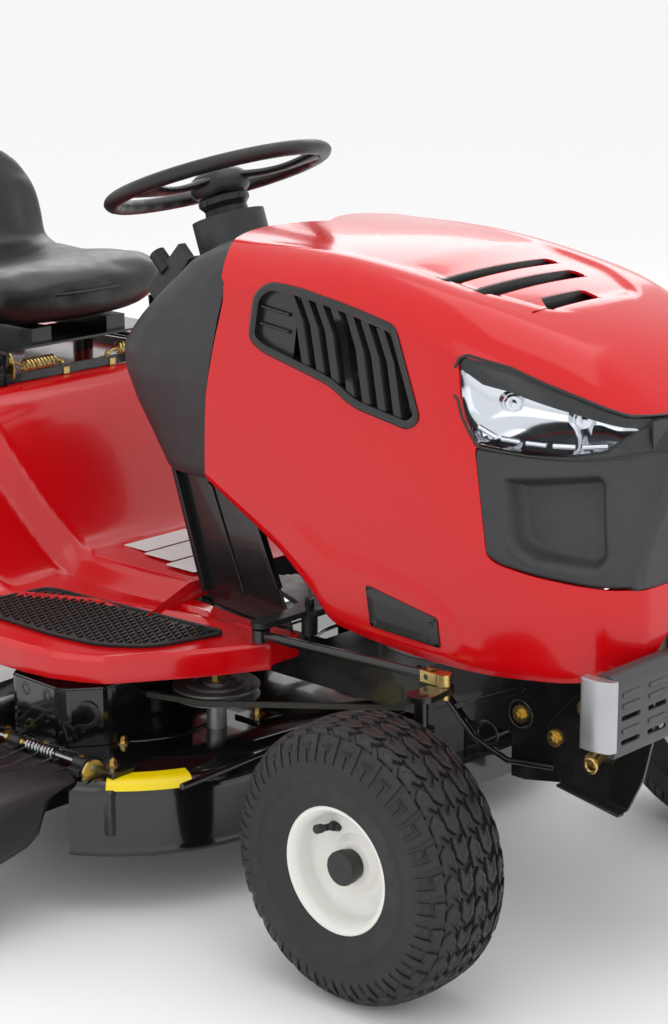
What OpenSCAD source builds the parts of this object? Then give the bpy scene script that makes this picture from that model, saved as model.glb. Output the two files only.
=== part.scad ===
/* [Chassis] */
// Distance from the rear axle to the front axle
wheelbase = 1200; // [1180:10:1450]
// Half of the width over the frame rails
rail_y = 168; // [165:1:202]
// Height of the top of the frame rails
rail_top = 352; // [346:1:380]
// Height of the lower edge of the frame rails
rail_bottom = 292; // [288:1:300]
// Thickness of the frame steel
frame_t = 4; // [3:0.5:6]

/* [Wheels] */
// Diameter of the rear tyres
rear_tyre_d = 508; // [430:1:540]
// Width of the rear tyres
rear_tyre_w = 203; // [170:1:210]
// Overall width over the rear tyres
rear_outer_w = 940; // [930:1:1000]
// Diameter of the front tyres
front_tyre_d = 381; // [360:1:390]
// Width of the front tyres
front_tyre_w = 152; // [127:1:156]
// Overall width over the front tyres
front_outer_w = 968; // [960:1:1010]

/* [Body] */
// Half of the width of the hood
hood_half_w = 235; // [225:1:250]
// Thickness of the plastic shells
shell_t = 4; // [3:0.5:6]
// Height of the seat deck of the fender
seat_deck_z = 640; // [625:1:660]
// Half of the width of the fender
fender_half_w = 484; // [480:1:500]
// Height of the running boards
board_z = 366; // [362:1:370]
// Half of the width of the seat
seat_half_w = 225; // [190:1:270]

/* [Steering] */
// Backward lean of the steering column, in degrees
column_tilt = 20; // [16:1:24]
// Diameter of the steering wheel over the rim
wheel_d = 356; // [300:1:427]
// Radial clearance of the running fits
fit = 0.05; // [0.02:0.01:0.1]

/* [Deck] */
// Height of the lower edge of the deck at its highest cut
deck_bottom = 90; // [85:1:95]
// Depth of the deck shell
deck_h = 110; // [92:1:114]
// Distance of each blade spindle from the middle
spindle_y = 260; // [255:1:275]
// Length of a cutting blade
blade_l = 508; // [420:1:510]
// Thickness of the deck steel
deck_t = 3; // [2:0.5:4]

/* [Hidden] */
$fn = 48;

// Every x is measured from the rear axle, and front() measures from the front axle
function front(x) = wheelbase + x;

// Overall box, used to put the origin at the middle of the footprint
rear_end_x = -336;
front_end_x = front(280);
deflector_out_y = -770;
deck_left_y = spindle_y + 286;
mid_x = (front_end_x + rear_end_x) / 2;
mid_y = (deck_left_y + deflector_out_y) / 2;

// Frame
frame_rear_x = -262;
rail_in_y = rail_y - frame_t;
axle_carrier_x = 34;
axle_pin_d = 16;
axle_pin_z = 256;
crank_x = front(-190);
crank_hole_d = 84;
hitch_hole_d = 16;
hitch_t = 6;
hitch_z = rail_bottom + 4;
hitch_hole_x = -296;

// Wheels
rear_wheel_y = (rear_outer_w - rear_tyre_w) / 2;
front_wheel_y = (front_outer_w - front_tyre_w) / 2;
rear_r = rear_tyre_d / 2;
front_r = front_tyre_d / 2;
rear_bead_r = 103;
front_bead_r = 78;
hub_bore_d = 19;
axle_shaft_d = 24;

// Steering column, along an axis that leans back by column_tilt
wheel_c = [front(-680), 0, 978];
column_dir = [-sin(column_tilt), 0, cos(column_tilt)];
shaft_d = 19;
shaft_l = 626;
wheel_rim_d = 24;
cover_low = 165;

// Front steering
kingpin_y = 306;
kingpin_d = 19;
knuckle_arm_z = 384;
drag_arm_l = 45;
tie_arm_l = 85;
tie_rod_z = 226;
sector_x = front(-350);
sector_y = -150;
sector_z = 392;
sector_arm_l = 100;
pinion_pitch_r = 22;
pinion_x = wheel_c[0] + (wheel_c[2] - sector_z - 4) * tan(column_tilt);
sector_pitch_r = norm([sector_x - pinion_x, sector_y]) - pinion_pitch_r;
sector_dir = atan2(-sector_y, pinion_x - sector_x);
rod_end_z = knuckle_arm_z + 12;
drag_link_d = 14;

// Deck
deck_top = deck_bottom + deck_h;
spindle_right_x = wheelbase * 0.4875;
spindle_left_x = wheelbase * 0.5375;
blade_chamber_r = 285;
belt_z = 262;
deck_pulley_r = 62;
crank_pulley_r = 55;
idler_r = 63;
idler_x = spindle_right_x + 139;
idler_y = -spindle_y + 42;
spindle_d = 25;
deflector_x0 = spindle_right_x - 165;
deflector_x1 = spindle_right_x + 150;
deflector_hinge_y = -478;
deflector_hinge_z = deck_top + 16;

// Controls
stud_d = 14;
hinge_pin_d = 10;
lift_x = 230;
lift_z = 271;
lift_shaft_d = 20;
lift_arm_l = 160;
lift_swing = 10.8;
lift_pin_z = lift_z + lift_arm_l * sin(lift_swing);
lift_pin_x = lift_x + lift_arm_l * cos(lift_swing);
lever_y = 244;
speed_x = 150;
speed_z = 396;
direction_x = 262;
direction_z = 410;
direction_y = 132;
pedal_x = front(-330);
pedal_z = 312;
dash_lever_y = 95;
dash_lever_x = front(-610);
dash_lever_z = 770;
dash_slope = 46.8;
key_y = -66;
hood_hinge_x = front(192);
hood_hinge_z = 480;
bumper_half_w = 260;
seat_hinge_x = 196;
seat_hinge_z = 676;

module place() {
    translate([-mid_x, -mid_y, 0]) children();
}

module both_sides() {
    children();
    mirror([0, 1, 0]) children();
}

// A profile drawn in x and z, given a thickness along y about the plane y
module slab(y, t) {
    translate([0, y + t / 2, 0]) rotate([90, 0, 0]) linear_extrude(t) children();
}

// A profile drawn in x and y, between two heights
module layer(z0, z1) {
    translate([0, 0, z0]) linear_extrude(z1 - z0) children();
}

// A round bar between two points
module bar(a, b, d) {
    v = b - a;
    l = norm(v);
    translate(a) rotate([0, acos(v[2] / l), atan2(v[1], v[0])]) cylinder(h = l, d = d);
}

// A cylinder along y, centred on a point
module y_pin(p, d, l) {
    translate(p) rotate([90, 0, 0]) cylinder(h = l, d = d, center = true);
}

// A cylinder along x, centred on a point
module x_pin(p, d, l) {
    translate(p) rotate([0, 90, 0]) cylinder(h = l, d = d, center = true);
}

// A rectangle with round corners, centred
module round_rect(w, h, r) {
    square([w - 2 * r, h], center = true);
    square([w, h - 2 * r], center = true);
    for (i = [-1, 1], j = [-1, 1]) translate([i * (w / 2 - r), j * (h / 2 - r)]) circle(r);
}

function unit(v) = v / norm(v);
function left_of(v) = [-v[1], v[0]];
function edge_normal(p, i) = left_of(unit(p[i + 1] - p[i]));
function corner_normal(p, i) =
    i == 0 ? edge_normal(p, 0)
    : i == len(p) - 1 ? edge_normal(p, i - 1)
    : let (a = edge_normal(p, i - 1), b = edge_normal(p, i)) (a + b) / (1 + a * b);
function shifted(p, t) = [for (i = [0:len(p) - 1]) p[i] + t * corner_normal(p, i)];

// A bent sheet along an open path, thickened to the left of the path
module sheet(p, t) {
    q = shifted(p, t);
    polygon(concat(p, [for (i = [len(p) - 1:-1:0]) q[i]]));
}

// Frame rails and plates

rail_outline = [
    [frame_rear_x, rail_bottom], [front(-125), rail_bottom], [front(-52), 246], [front(66), 246],
    [front(150), 262], [front(190), 306], [front(204), 402], [front(-40), 394], [front(-150), rail_top],
    [frame_rear_x, rail_top]
];

// Bolts of the bumper arms, in x and z
arm_bolts = [[front(120), 320], [front(168), 372]];

module frame_rail(side) {
    color([0.03, 0.03, 0.03]) place() difference() {
        union() {
            slab(side * (rail_y - frame_t / 2), frame_t) polygon(rail_outline);
            translate([frame_rear_x, side > 0 ? rail_in_y - 26 : -rail_in_y, rail_top - frame_t])
                cube([front(-150) - frame_rear_x, 26, frame_t]);
        }
        translate([front(-axle_carrier_x - 8), side * rail_y - 20, 200])
            cube([2 * axle_carrier_x + 16, 40, 108]);
        for (p = arm_bolts) y_pin([p[0], side * rail_y, p[1]], 11, 30);
    }
}

module frame_rail_left() { frame_rail(1); }

module frame_rail_right() { frame_rail(-1); }

module frame_crossmembers() {
    w = 2 * rail_in_y - 0.4;
    tray_w = 2 * rail_in_y - 52.4;
    color([0.04, 0.04, 0.04]) place() {
        // Engine plate with the crankshaft hole
        difference() {
            translate([front(-330), -tray_w / 2, rail_top - frame_t]) cube([290, tray_w, frame_t]);
            translate([crank_x, 0, 0]) cylinder(h = 1000, d = crank_hole_d);
        }
        // Two cross plates that carry the front axle pivot
        for (k = [-1, 1]) difference() {
            translate([front(k * axle_carrier_x) - 3, 0, 0]) rotate([90, 0, 90]) linear_extrude(6) polygon([
                [-60, 230], [60, 230], [60, 312], [w / 2, 312], [w / 2, 346], [-w / 2, 346], [-w / 2, 312],
                [-60, 312]
            ]);
            x_pin([front(0), 0, axle_pin_z], axle_pin_d, 200);
        }
        // Battery tray over the transaxle
        translate([-112, -tray_w / 2, rail_top - frame_t]) cube([236, tray_w, frame_t]);
        // Hitch plate with its drawbar hole
        difference() {
            translate([-322, -78, hitch_z]) cube([322 - 170, 156, hitch_t]);
            translate([hitch_hole_x, 0, hitch_z - 5]) cylinder(h = 20, d = hitch_hole_d);
        }
        translate([frame_rear_x - frame_t, -w / 2 - 3, hitch_z + hitch_t]) cube([frame_t, w + 6, 46]);
        // Hood hinge uprights
        both_sides() difference() {
            slab(rail_in_y - 3, 5) polygon([
                [front(100), 370], [front(130), 370], [front(204), hood_hinge_z - 6],
                [front(200), hood_hinge_z + 12], [front(182), hood_hinge_z + 10], [front(128), 430]
            ]);
            y_pin([hood_hinge_x, rail_in_y, hood_hinge_z], hinge_pin_d, 40);
        }
        // Hangers for the lift shaft, under the rails
        both_sides() difference() {
            slab(rail_y - 2, 4) polygon([
                [lift_x - 24, rail_bottom], [lift_x - 18, 254], [lift_x + 18, 254], [lift_x + 24, rail_bottom]
            ]);
            y_pin([lift_x, rail_y, lift_z], lift_shaft_d + 2 * fit, 40);
        }
        // Pivot studs of the speed and direction levers
        y_pin([speed_x, rail_y + 41, speed_z], stud_d, 82);
        y_pin([direction_x, rail_in_y - 21, direction_z], stud_d, 42);
        slab(rail_y + 3, 5) polygon([
            [speed_x - 30, 340], [speed_x + 30, 340], [speed_x + 12, speed_z + 12], [speed_x - 12, speed_z + 12]
        ]);
        slab(rail_in_y - 3, 5) polygon([
            [direction_x - 30, rail_top], [direction_x + 30, rail_top], [direction_x + 12, direction_z + 12],
            [direction_x - 12, direction_z + 12]
        ]);
        // Pedal pivot stud, on the left rail
        y_pin([pedal_x, rail_y + 20, pedal_z], stud_d, 40);
        // Post of the sector gear
        translate([sector_x, sector_y, rail_top]) cylinder(h = 60, d = stud_d);
        // Lower bearing of the steering shaft, on a plate across the rails
        difference() {
            union() {
                translate([front(-500), -tray_w / 2, rail_top - frame_t]) cube([80, tray_w, frame_t]);
                along_column(-shaft_l - 42) cylinder(h = 35.6, d = 36);
            }
            along_column(-shaft_l - 60) cylinder(h = 80, d = shaft_d - 4 + 2 * fit);
        }
        // Posts that carry the fender
        both_sides() for (x = [-250, 196]) slab(rail_in_y - 3, 5) translate([x, rail_top + 0.2])
            square([36, seat_deck_z - shell_t - rail_top + 0.4]);
    }
}

module front_bumper() {
    z0 = 352;
    z1 = 460;
    color([0.16, 0.16, 0.17]) place() {
        difference() {
            translate([front(264), -bumper_half_w, z0]) cube([14, 2 * bumper_half_w, z1 - z0]);
            translate([front(250), -bumper_half_w + 8, z0 + 6]) cube([24, 2 * bumper_half_w - 16, z1 - z0 - 12]);
            for (row = [0, 1], i = [-4:4])
                translate([front(255), i * 56 - 20, z0 + 34 + row * 32]) cube([40, 40, 7]);
        }
        both_sides() difference() {
            slab(rail_y + 2.7, 5) polygon([
                [front(130), 258], [front(235), 244], [front(262), 300], [front(275), z0], [front(275), 452],
                [front(228), 430], [front(186), 396], [front(152), 388], [front(104), 334], [front(104), 306]
            ]);
            for (p = arm_bolts) y_pin([p[0], rail_y, p[1]], 11, 30);
        }
    }
}

module bumper_caps() {
    color([0.72, 0.73, 0.74]) place() both_sides() difference() {
        layer(366, 458) {
            translate([front(262), bumper_half_w + 0.3]) circle(15);
            translate([front(228), bumper_half_w + 0.3]) square([34, 15]);
        }
        translate([front(225), bumper_half_w - 20, 360]) cube([60, 20.3, 110]);
        translate([front(225), bumper_half_w - 1, 360]) cube([36, 12, 110]);
    }
}

// Dash and steering column cover

module dash_legs() {
    color([0.05, 0.05, 0.05]) place() {
        both_sides() difference() {
            slab(rail_y + 2.2, frame_t) polygon([
                [front(-608), 584], [front(-624), 772], [front(-610), 784], [front(-594), 776],
                [front(-560), 584], [front(-468), 584], [front(-412), 470], [front(-366), 368],
                [front(-366), 338], [front(-392), 332], [front(-520), 360], [front(-531), 384], [front(-545), 410]
            ]);
            y_pin([dash_lever_x, rail_y, dash_lever_z], 8, 20);
        }
        // Shelf of the fuel tank
        translate([front(-510), -rail_y - 1, 580]) cube([126, 2 * rail_y + 2, frame_t]);
    }
}

// Plan slice of the dash: its rear face, its half width, its front face and its height
module dash_slice(x_rear, half_w, x_front, z, corner_r) {
    translate([0, 0, z]) linear_extrude(1) for (s = [-1, 1]) {
        translate([x_rear + corner_r, s * (half_w - corner_r - 10)]) circle(corner_r, $fn = 32);
        translate([x_front - 1, s * (half_w - 1)]) square(2, center = true);
    }
}

module dash_form(inset) {
    hull() {
        dash_slice(front(-658) + inset, 200 - inset, front(-462), 574, 70);
        dash_slice(front(-744) + inset, 222 - inset, front(-455), 716, 100);
        dash_slice(front(-738) + inset, 224 - inset, front(-453), 750, 100);
        dash_slice(front(-614) + inset, 218 - inset, front(-451), 882 - inset, 110);
        dash_slice(front(-540) + inset, 190 - inset, front(-450), 912 - inset, 80);
    }
}

// Moves to the middle of the sloping dash face, with z square to the face
module on_dash_slope(y, lift) {
    translate([dash_lever_x, y, dash_lever_z]) rotate([0, -dash_slope, 0]) translate([0, 0, 80 + lift]) children();
}

module dash_panel() {
    color([0.17, 0.17, 0.18]) place() difference() {
        dash_form(0);
        difference() {
            dash_form(shell_t);
            translate([front(-462), -400, 0]) cube([100, 800, 500]);
        }
        translate([front(-700), -400, 560]) cube([400, 800, 15]);
        translate([front(-458), -400, 500]) cube([200, 800, 500]);
        along_column(-300) cylinder(h = 260, d1 = cover_d(300) + 0.8, d2 = cover_d(40) + 0.8);
        // Slots of the two dash levers, and the hole of the ignition switch
        for (k = [-1, 1]) on_dash_slope(k * dash_lever_y, 0) cube([104, 14, 60], center = true);
        on_dash_slope(key_y, 0) cylinder(h = 60, d = 25, center = true);
    }
}

// Moves along the steering axis from the middle of the steering wheel
module along_column(l) {
    translate(wheel_c + l * column_dir) rotate([0, -column_tilt, 0]) children();
}

// Outer diameter of the tapered cover, at a distance below the steering wheel
function cover_d(l) = 62 + (l - 40) * 0.29;

module column_cover() {
    color([0.06, 0.06, 0.06]) place() difference() {
        union() {
            along_column(-cover_low) cylinder(h = cover_low - 40, d1 = cover_d(cover_low), d2 = cover_d(40));
            along_column(-41) cylinder(h = 13, d = 76);
        }
        along_column(-300) cylinder(h = 290, d = shaft_d + 2 * fit);
        along_column(-300) cylinder(h = 250, d = 46);
    }
}

// Fender, one sheet with a seat deck, wheel arches and running boards

seat_path = [
    [-330, 440], [-332, 590], [-290, seat_deck_z], [236, seat_deck_z], [292, 560], [372, 430],
    [410, 404], [front(-560), 400]
];
arch_path = [
    [-334, 400], [-330, 500], [-262, 585], [-180, 604], [200, 604], [262, 560], [330, 440], [380, board_z],
    [480, board_z]
];
board_outline = [
    [400, 1], [front(-430), 1], [front(-350), 66], [front(-400), 170], [front(-480), 244], [front(-580), 290],
    [front(-700), fender_half_w - rail_y - 9], [400, fender_half_w - rail_y - 9]
];

module fender() {
    inner = rail_y + 8;
    t = shell_t - 1;
    color([0.75, 0.03, 0.03]) place() {
        difference() {
            union() {
                slab(0, 2 * 262) sheet(seat_path, -t);
                both_sides() {
                    slab((262 + fender_half_w) / 2 - 1, fender_half_w - 262) sheet(arch_path, -t);
                    slab(fender_half_w - t / 2, t) sheet(arch_path, -42);
                    slab(260, t) polygon([
                        [-331, 560], [-290, seat_deck_z - 1], [236, seat_deck_z - 1], [292, 560], [340, 470],
                        [330, 440], [262, 560], [200, 601], [-180, 601], [-262, 582]
                    ]);
                    slab(inner + t / 2, t) polygon([
                        [348, board_z - t], [372, 430], [410, 403], [front(-560), 399], [front(-560), board_z - t]
                    ]);
                    translate([0, inner - 1, 0]) {
                        layer(board_z - t, board_z) polygon(board_outline);
                        layer(board_z - 28, board_z - t + 0.5) sheet([for (i = [1:7]) board_outline[i]], t);
                    }
                }
            }
            // Slots for the lift, speed and direction levers
            both_sides() translate([-6, lever_y - 12, 600]) cube([206, 24, 60]);
            translate([216, direction_y - 12, 520]) cube([116, 24, 150]);
            // The seat deck part stops at the running boards
            for (s = [-1, 1])
                translate([345, s > 0 ? inner + t : -inner - t - 100, board_z + 0.01]) cube([400, 100, 200]);
        }
    }
}

module foot_pads() {
    color([0.02, 0.02, 0.02]) place() both_sides() layer(board_z + 0.2, board_z + 6) polygon([
        [front(-770), 300], [front(-740), 290], [front(-430), 262], [front(-424), 268], [front(-455), 350],
        [front(-520), 400], [front(-620), 424], [front(-740), 424], [front(-772), 410]
    ]);
}

// Engine, fuel and drive

engine_z = rail_top + 0.5;
tank_z = 584.4;

module engine_block() {
    color([0.62, 0.62, 0.63]) place() {
        difference() {
            union() {
                translate([crank_x, 0, engine_z]) cylinder(h = 116, r = 118);
                translate([crank_x, 0, engine_z + 116]) cylinder(h = 30, r = 96);
                for (a = [45:90:315]) rotate_about([crank_x, 0, 0], a)
                    translate([crank_x + 80, -6, engine_z + 110]) cube([57.5, 12, 48]);
                // Cylinder and head, pointing forward
                translate([crank_x + 60, -62, engine_z + 20]) cube([150, 124, 100]);
                for (i = [0:6]) translate([crank_x + 112 + i * 13, -78, engine_z + 14]) cube([4, 156, 112]);
            }
            translate([crank_x, 0, engine_z - 1]) cylinder(h = 200, d = 32);
        }
        // Oil filler tube
        translate([crank_x - 98, 60, engine_z + 60]) cylinder(h = 120, d = 26);
        translate([crank_x - 98, 60, engine_z + 180]) cylinder(h = 14, d = 34);
    }
}

module engine_shroud() {
    color([0.08, 0.08, 0.08]) place() difference() {
        union() {
            translate([crank_x, 0, engine_z + 148]) cylinder(h = 120, r = 142);
            translate([crank_x, -110, engine_z + 148]) cube([228, 220, 92]);
        }
        translate([crank_x, 0, engine_z + 147]) cylinder(h = 117, r = 138);
        translate([crank_x + 2, -106, engine_z + 147]) cube([222, 212, 89]);
        translate([crank_x, 0, engine_z + 200]) cylinder(h = 100, r = 96);
    }
}

module crank_pulley() {
    color([0.45, 0.45, 0.46]) place() {
        // Crankshaft, with the deck and drive pulleys below and the rotating screen on top
        translate([crank_x, 0, 236]) cylinder(h = engine_z + 262 - 236, d = 32 - 2 * fit);
        translate([crank_x, 0, belt_z]) rotate_extrude() pulley_profile(crank_pulley_r, 32);
        translate([crank_x, 0, belt_z + 26]) rotate_extrude() pulley_profile(36, 32);
        difference() {
            translate([crank_x, 0, engine_z + 262.5]) cylinder(h = 14, r = 90);
            for (i = [0:11]) rotate_about([crank_x, 0, 0], i * 30)
                translate([crank_x + 40, -5, engine_z + 250]) cube([44, 10, 50]);
        }
    }
}

module rotate_about(p, a) {
    translate(p) rotate([0, 0, a]) translate(-p) children();
}

// Half section of a V pulley centred on the belt line, with a round bore
module pulley_profile(r, bore) {
    polygon([
        [bore / 2, -8], [r + 2, -8], [r + 2, -6], [r - 9, -1], [r - 9, 1], [r + 2, 6], [r + 2, 8], [bore / 2, 8]
    ]);
}

module muffler() {
    color([0.35, 0.34, 0.33]) place() {
        y_pin([front(96), 0, engine_z + 90], 84, 250);
        bar([crank_x + 213, 30, engine_z + 60], [front(80), 30, engine_z + 74], 26);
        bar([front(96), 90, engine_z + 60], [front(96), 90, engine_z - 20], 26);
    }
}

module fuel_tank() {
    color([0.85, 0.84, 0.80]) place() difference() {
        union() {
            translate([front(-432), 0, 0]) layer(tank_z, tank_z + 170) round_rect(96, 330, 30);
            translate([front(-432), -90, tank_z + 170]) cylinder(h = 22, d = 58);
        }
        translate([front(-432), 0, 0]) layer(tank_z + 4, tank_z + 166) round_rect(88, 322, 26);
        translate([front(-432), -90, tank_z + 160]) cylinder(h = 40, d = 46);
    }
}

module fuel_cap() {
    color([0.05, 0.05, 0.05]) place() difference() {
        translate([front(-432), -90, tank_z + 174]) cylinder(h = 30, d = 76);
        translate([front(-432), -90, tank_z + 173]) cylinder(h = 19.4, d = 58 + 2 * fit);
        for (i = [0:11]) rotate_about([front(-432), -90, 0], i * 30)
            translate([front(-432) + 38, -90, tank_z + 150]) cylinder(h = 80, d = 6);
    }
}

module battery() {
    color([0.1, 0.1, 0.11]) place() {
        translate([-98, -92, rail_top + 0.3]) cube([196, 130, 160]);
        for (x = [-70, 70]) translate([x, -60, rail_top + 160.5]) cylinder(h = 18, d = 16);
    }
}

module transaxle() {
    color([0.5, 0.5, 0.51]) place() {
        difference() {
            union() {
                translate([-95, -110, rear_r - 62]) cube([200, 150, 92]);
                y_pin([0, 0, rear_r], 60, 2 * rail_in_y - 8);
                both_sides() translate([-50, rail_in_y - 12.3, rear_r]) cube([100, 12, 76]);
            }
            y_pin([0, 0, rear_r], axle_shaft_d, 2000);
        }
    }
}

// Seat

module seat_base() {
    color([0.05, 0.05, 0.05]) place() {
        both_sides() difference() {
            slab(178, 5) polygon([
                [-150, seat_deck_z + 0.4], [seat_hinge_x + 22, seat_deck_z + 0.4],
                [seat_hinge_x + 14, seat_hinge_z + 10], [seat_hinge_x - 14, seat_hinge_z + 10],
                [seat_hinge_x - 40, seat_deck_z + 14], [-150, seat_deck_z + 10]
            ]);
            y_pin([seat_hinge_x, 178, seat_hinge_z], 10, 20);
        }
        both_sides() y_pin([seat_hinge_x, 180, seat_hinge_z], 10, 26);
        // Coil springs under the pan
        for (x = [-120, 60]) both_sides() translate([x, 120, seat_deck_z + 0.4]) cylinder(h = 34, d = 34);
    }
}

module seat_pan() {
    color([0.06, 0.06, 0.06]) place() {
        difference() {
            translate([-150, -165, 689]) cube([350, 330, 4]);
            translate([-40, -70, 680]) cube([110, 140, 20]);
        }
        both_sides() difference() {
            slab(168, 6) polygon([
                [-150, 693], [-150, 680], [seat_hinge_x - 40, 676], [seat_hinge_x - 10, seat_hinge_z - 12],
                [seat_hinge_x + 12, seat_hinge_z - 8], [seat_hinge_x + 14, 693]
            ]);
            y_pin([seat_hinge_x, 168, seat_hinge_z], 10 + 2 * fit, 20);
        }
        both_sides() translate([-140, 60, 692]) cube([330, 40, 25.6]);
    }
}

module seat_cushion() {
    w = 2 * seat_half_w;
    color([0.04, 0.04, 0.04]) place() {
        hull() {
            translate([15, 0, 0]) layer(718, 722) round_rect(320, w - 110, 70);
            translate([-5, 0, 0]) layer(748, 784) round_rect(430, w, 110);
            translate([-10, 0, 0]) layer(816, 820) round_rect(330, w - 90, 100);
        }
        hull() {
            y_pin([-172, 0, 800], 100, w - 10);
            y_pin([-186, 0, 890], 78, w - 60);
            y_pin([-200, 0, 956], 60, w - 210);
        }
    }
}

// Hood and its trim

// Cross section of the hood at one station: crown height, shoulder half width and skirt half width
function hood_section(z_top, shoulder_w, skirt_w, z_low) = concat(
    [[skirt_w - 6, z_low], [skirt_w, z_low + 130], [shoulder_w + 5, z_top - 84]],
    [for (a = [0:30:60]) [shoulder_w - 36 + 36 * cos(a), z_top - 76 + 36 * sin(a)]],
    [for (k = [2:-1:-2]) let (y = k * (shoulder_w - 40) / 2.6) [y, z_top - 32 * pow(abs(k) / 2.6, 2)]],
    [for (a = [60:-30:0]) [-shoulder_w + 36 - 36 * cos(a), z_top - 76 + 36 * sin(a)]],
    [[-shoulder_w - 5, z_top - 84], [-skirt_w, z_low + 130], [-skirt_w + 6, z_low]]
);

module hood_station(x, z_top, shoulder_w, skirt_w, z_low) {
    translate([x, 0, 0]) rotate([90, 0, 90]) linear_extrude(1)
        polygon(hood_section(z_top, shoulder_w, skirt_w, z_low));
}

module hood_form(inset) {
    w = hood_half_w;
    hull() {
        hood_station(front(-448), 936 - inset, w - 15 - inset, w - 3 - inset, 370);
        hood_station(front(-250), 930 - inset, w - 10 - inset, w - inset, 370);
        hood_station(front(-50), 900 - inset, w - 12 - inset, w - inset, 370);
        hood_station(front(60), 868 - inset, w - 30 - inset, w - 4 - inset, 370);
        hood_station(front(150) - inset / 2, 822 - inset, w - 66 - inset, w - 16 - inset, 380);
        hood_station(front(212) - inset, 762 - inset, w - 100 - inset, w - 42 - inset, 410);
        hood_station(front(240) - inset, 690 - inset, w - 160 - inset, w - 100 - inset, 440);
    }
}

// Space below the hood's lower edge
module hood_lower_cut(gap) {
    slab(0, 800) polygon([
        [front(-600), 592 - gap], [front(-468), 592 - gap], [front(-268), 460 - gap], [front(-218), 408 - gap],
        [front(-155), 390 - gap], [front(-2), 374 - gap], [front(120), 392 - gap], [front(235), 440 - gap],
        [front(400), 444 - gap], [front(400), 200], [front(-600), 200]
    ]);
}

grille_outline = [
    [front(35), 712], [front(49), 574], [front(150), 548], [front(400), 540], [front(400), 768],
    [front(200), 762], [front(200), 712]
];
light_outline = [
    [front(-7), 829], [front(30), 716], [front(196), 716], [front(196), 764], [front(100), 792]
];

module hood_skin() {
    difference() {
        hood_form(0);
        difference() {
            hood_form(shell_t);
            translate([front(-449), -400, 0]) cube([2, 800, 2000]);
        }
        translate([front(-470), -400, 200]) cube([24, 800, 900]);
        hood_lower_cut(0);
    }
}

module vent_outline(grow) {
    polygon([
        [front(-355) - grow, 883 - 14 + grow], [front(-380) - grow, 820 - grow], [front(-201), 767 - grow],
        [front(-76) + grow, 724 - grow], [front(-106) + grow, 850 + grow]
    ]);
}

module hood() {
    color([0.75, 0.03, 0.03]) place() {
        difference() {
            hood_skin();
            slab(0, 800) polygon(grille_outline);
            slab(0, 800) polygon(light_outline);
            both_sides() slab(hood_half_w, 60) vent_outline(0);
            both_sides() for (i = [0:2]) translate([front(-46 + i * 50), 30, 780]) rotate([0, 0, 6])
                cube([15, 152 - i * 18, 200]);
        }
        intersection() {
            both_sides() difference() {
                union() {
                    slab(rail_in_y - 12, 8) polygon([
                        [front(180), hood_hinge_z - 12], [front(204), hood_hinge_z - 12], [front(208), 530],
                        [front(176), 530]
                    ]);
                    translate([front(176), rail_in_y - 16, 506]) cube([30, 90, 24]);
                }
                y_pin([hood_hinge_x, 150, hood_hinge_z], hinge_pin_d + 2 * fit, 100);
            }
            hood_form(1);
        }
    }
}

module hood_trim() {
    color([0.14, 0.14, 0.15]) place() {
        intersection() {
            difference() {
                hood_form(0.6);
                hood_form(7);
            }
            union() {
                slab(0, 800) polygon([
                    [front(35.5), 711.5], [front(49.5), 574.5], [front(150), 548.5], [front(400), 540.5],
                    [front(400), 767.5], [front(200.5), 761.5], [front(200.5), 711.5]
                ]);
                both_sides() slab(hood_half_w, 60) difference() {
                    vent_outline(-0.5);
                    for (i = [0:5]) translate([front(-322 + i * 36), 812 - i * 6]) rotate(14)
                        square([14, 60], center = true);
                }
            }
        }
    }
}

module headlight_reflectors() {
    color([0.8, 0.8, 0.82]) place() difference() {
        intersection() {
            hood_form(4.4);
            both_sides() slab(300, 360) polygon([
                [front(-4), 826], [front(32), 718], [front(194), 718], [front(194), 762], [front(100), 789]
            ]);
        }
        hood_form(20);
        difference() {
            slab(0, 1000) polygon([
                [front(6), 816], [front(38), 723], [front(189), 723], [front(189), 757], [front(98), 783]
            ]);
            hood_form(17);
        }
    }
}

module headlight_lenses() {
    color([0.9, 0.93, 0.95, 0.5]) place() intersection() {
        difference() {
            hood_form(0.6);
            hood_form(4);
        }
        slab(0, 800) polygon([
            [front(-6), 828], [front(31), 717], [front(195), 717], [front(195), 763], [front(100), 791]
        ]);
    }
}

// Front axle and steering

module front_axle() {
    color([0.1, 0.1, 0.1]) place() difference() {
        union() {
            translate([front(0), 0, 0]) rotate([90, 0, 90]) linear_extrude(36, center = true) polygon([
                [-kingpin_y - 17, 300], [-kingpin_y + 17, 300], [-kingpin_y + 46, 276], [-60, 272], [-28, 286],
                [28, 286], [60, 272], [kingpin_y - 46, 276], [kingpin_y - 17, 300], [kingpin_y + 17, 300],
                [kingpin_y + 17, 240], [kingpin_y - 30, 240], [40, 232], [-40, 232], [-kingpin_y + 30, 240],
                [-kingpin_y - 17, 240]
            ]);
            both_sides() translate([front(0), kingpin_y, 240]) cylinder(h = 100, d = 36);
        }
        both_sides() translate([front(0), kingpin_y, 200]) cylinder(h = 200, d = kingpin_d + 2 * fit);
        x_pin([front(0), 0, axle_pin_z], axle_pin_d + 2 * fit, 100);
    }
}

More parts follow.
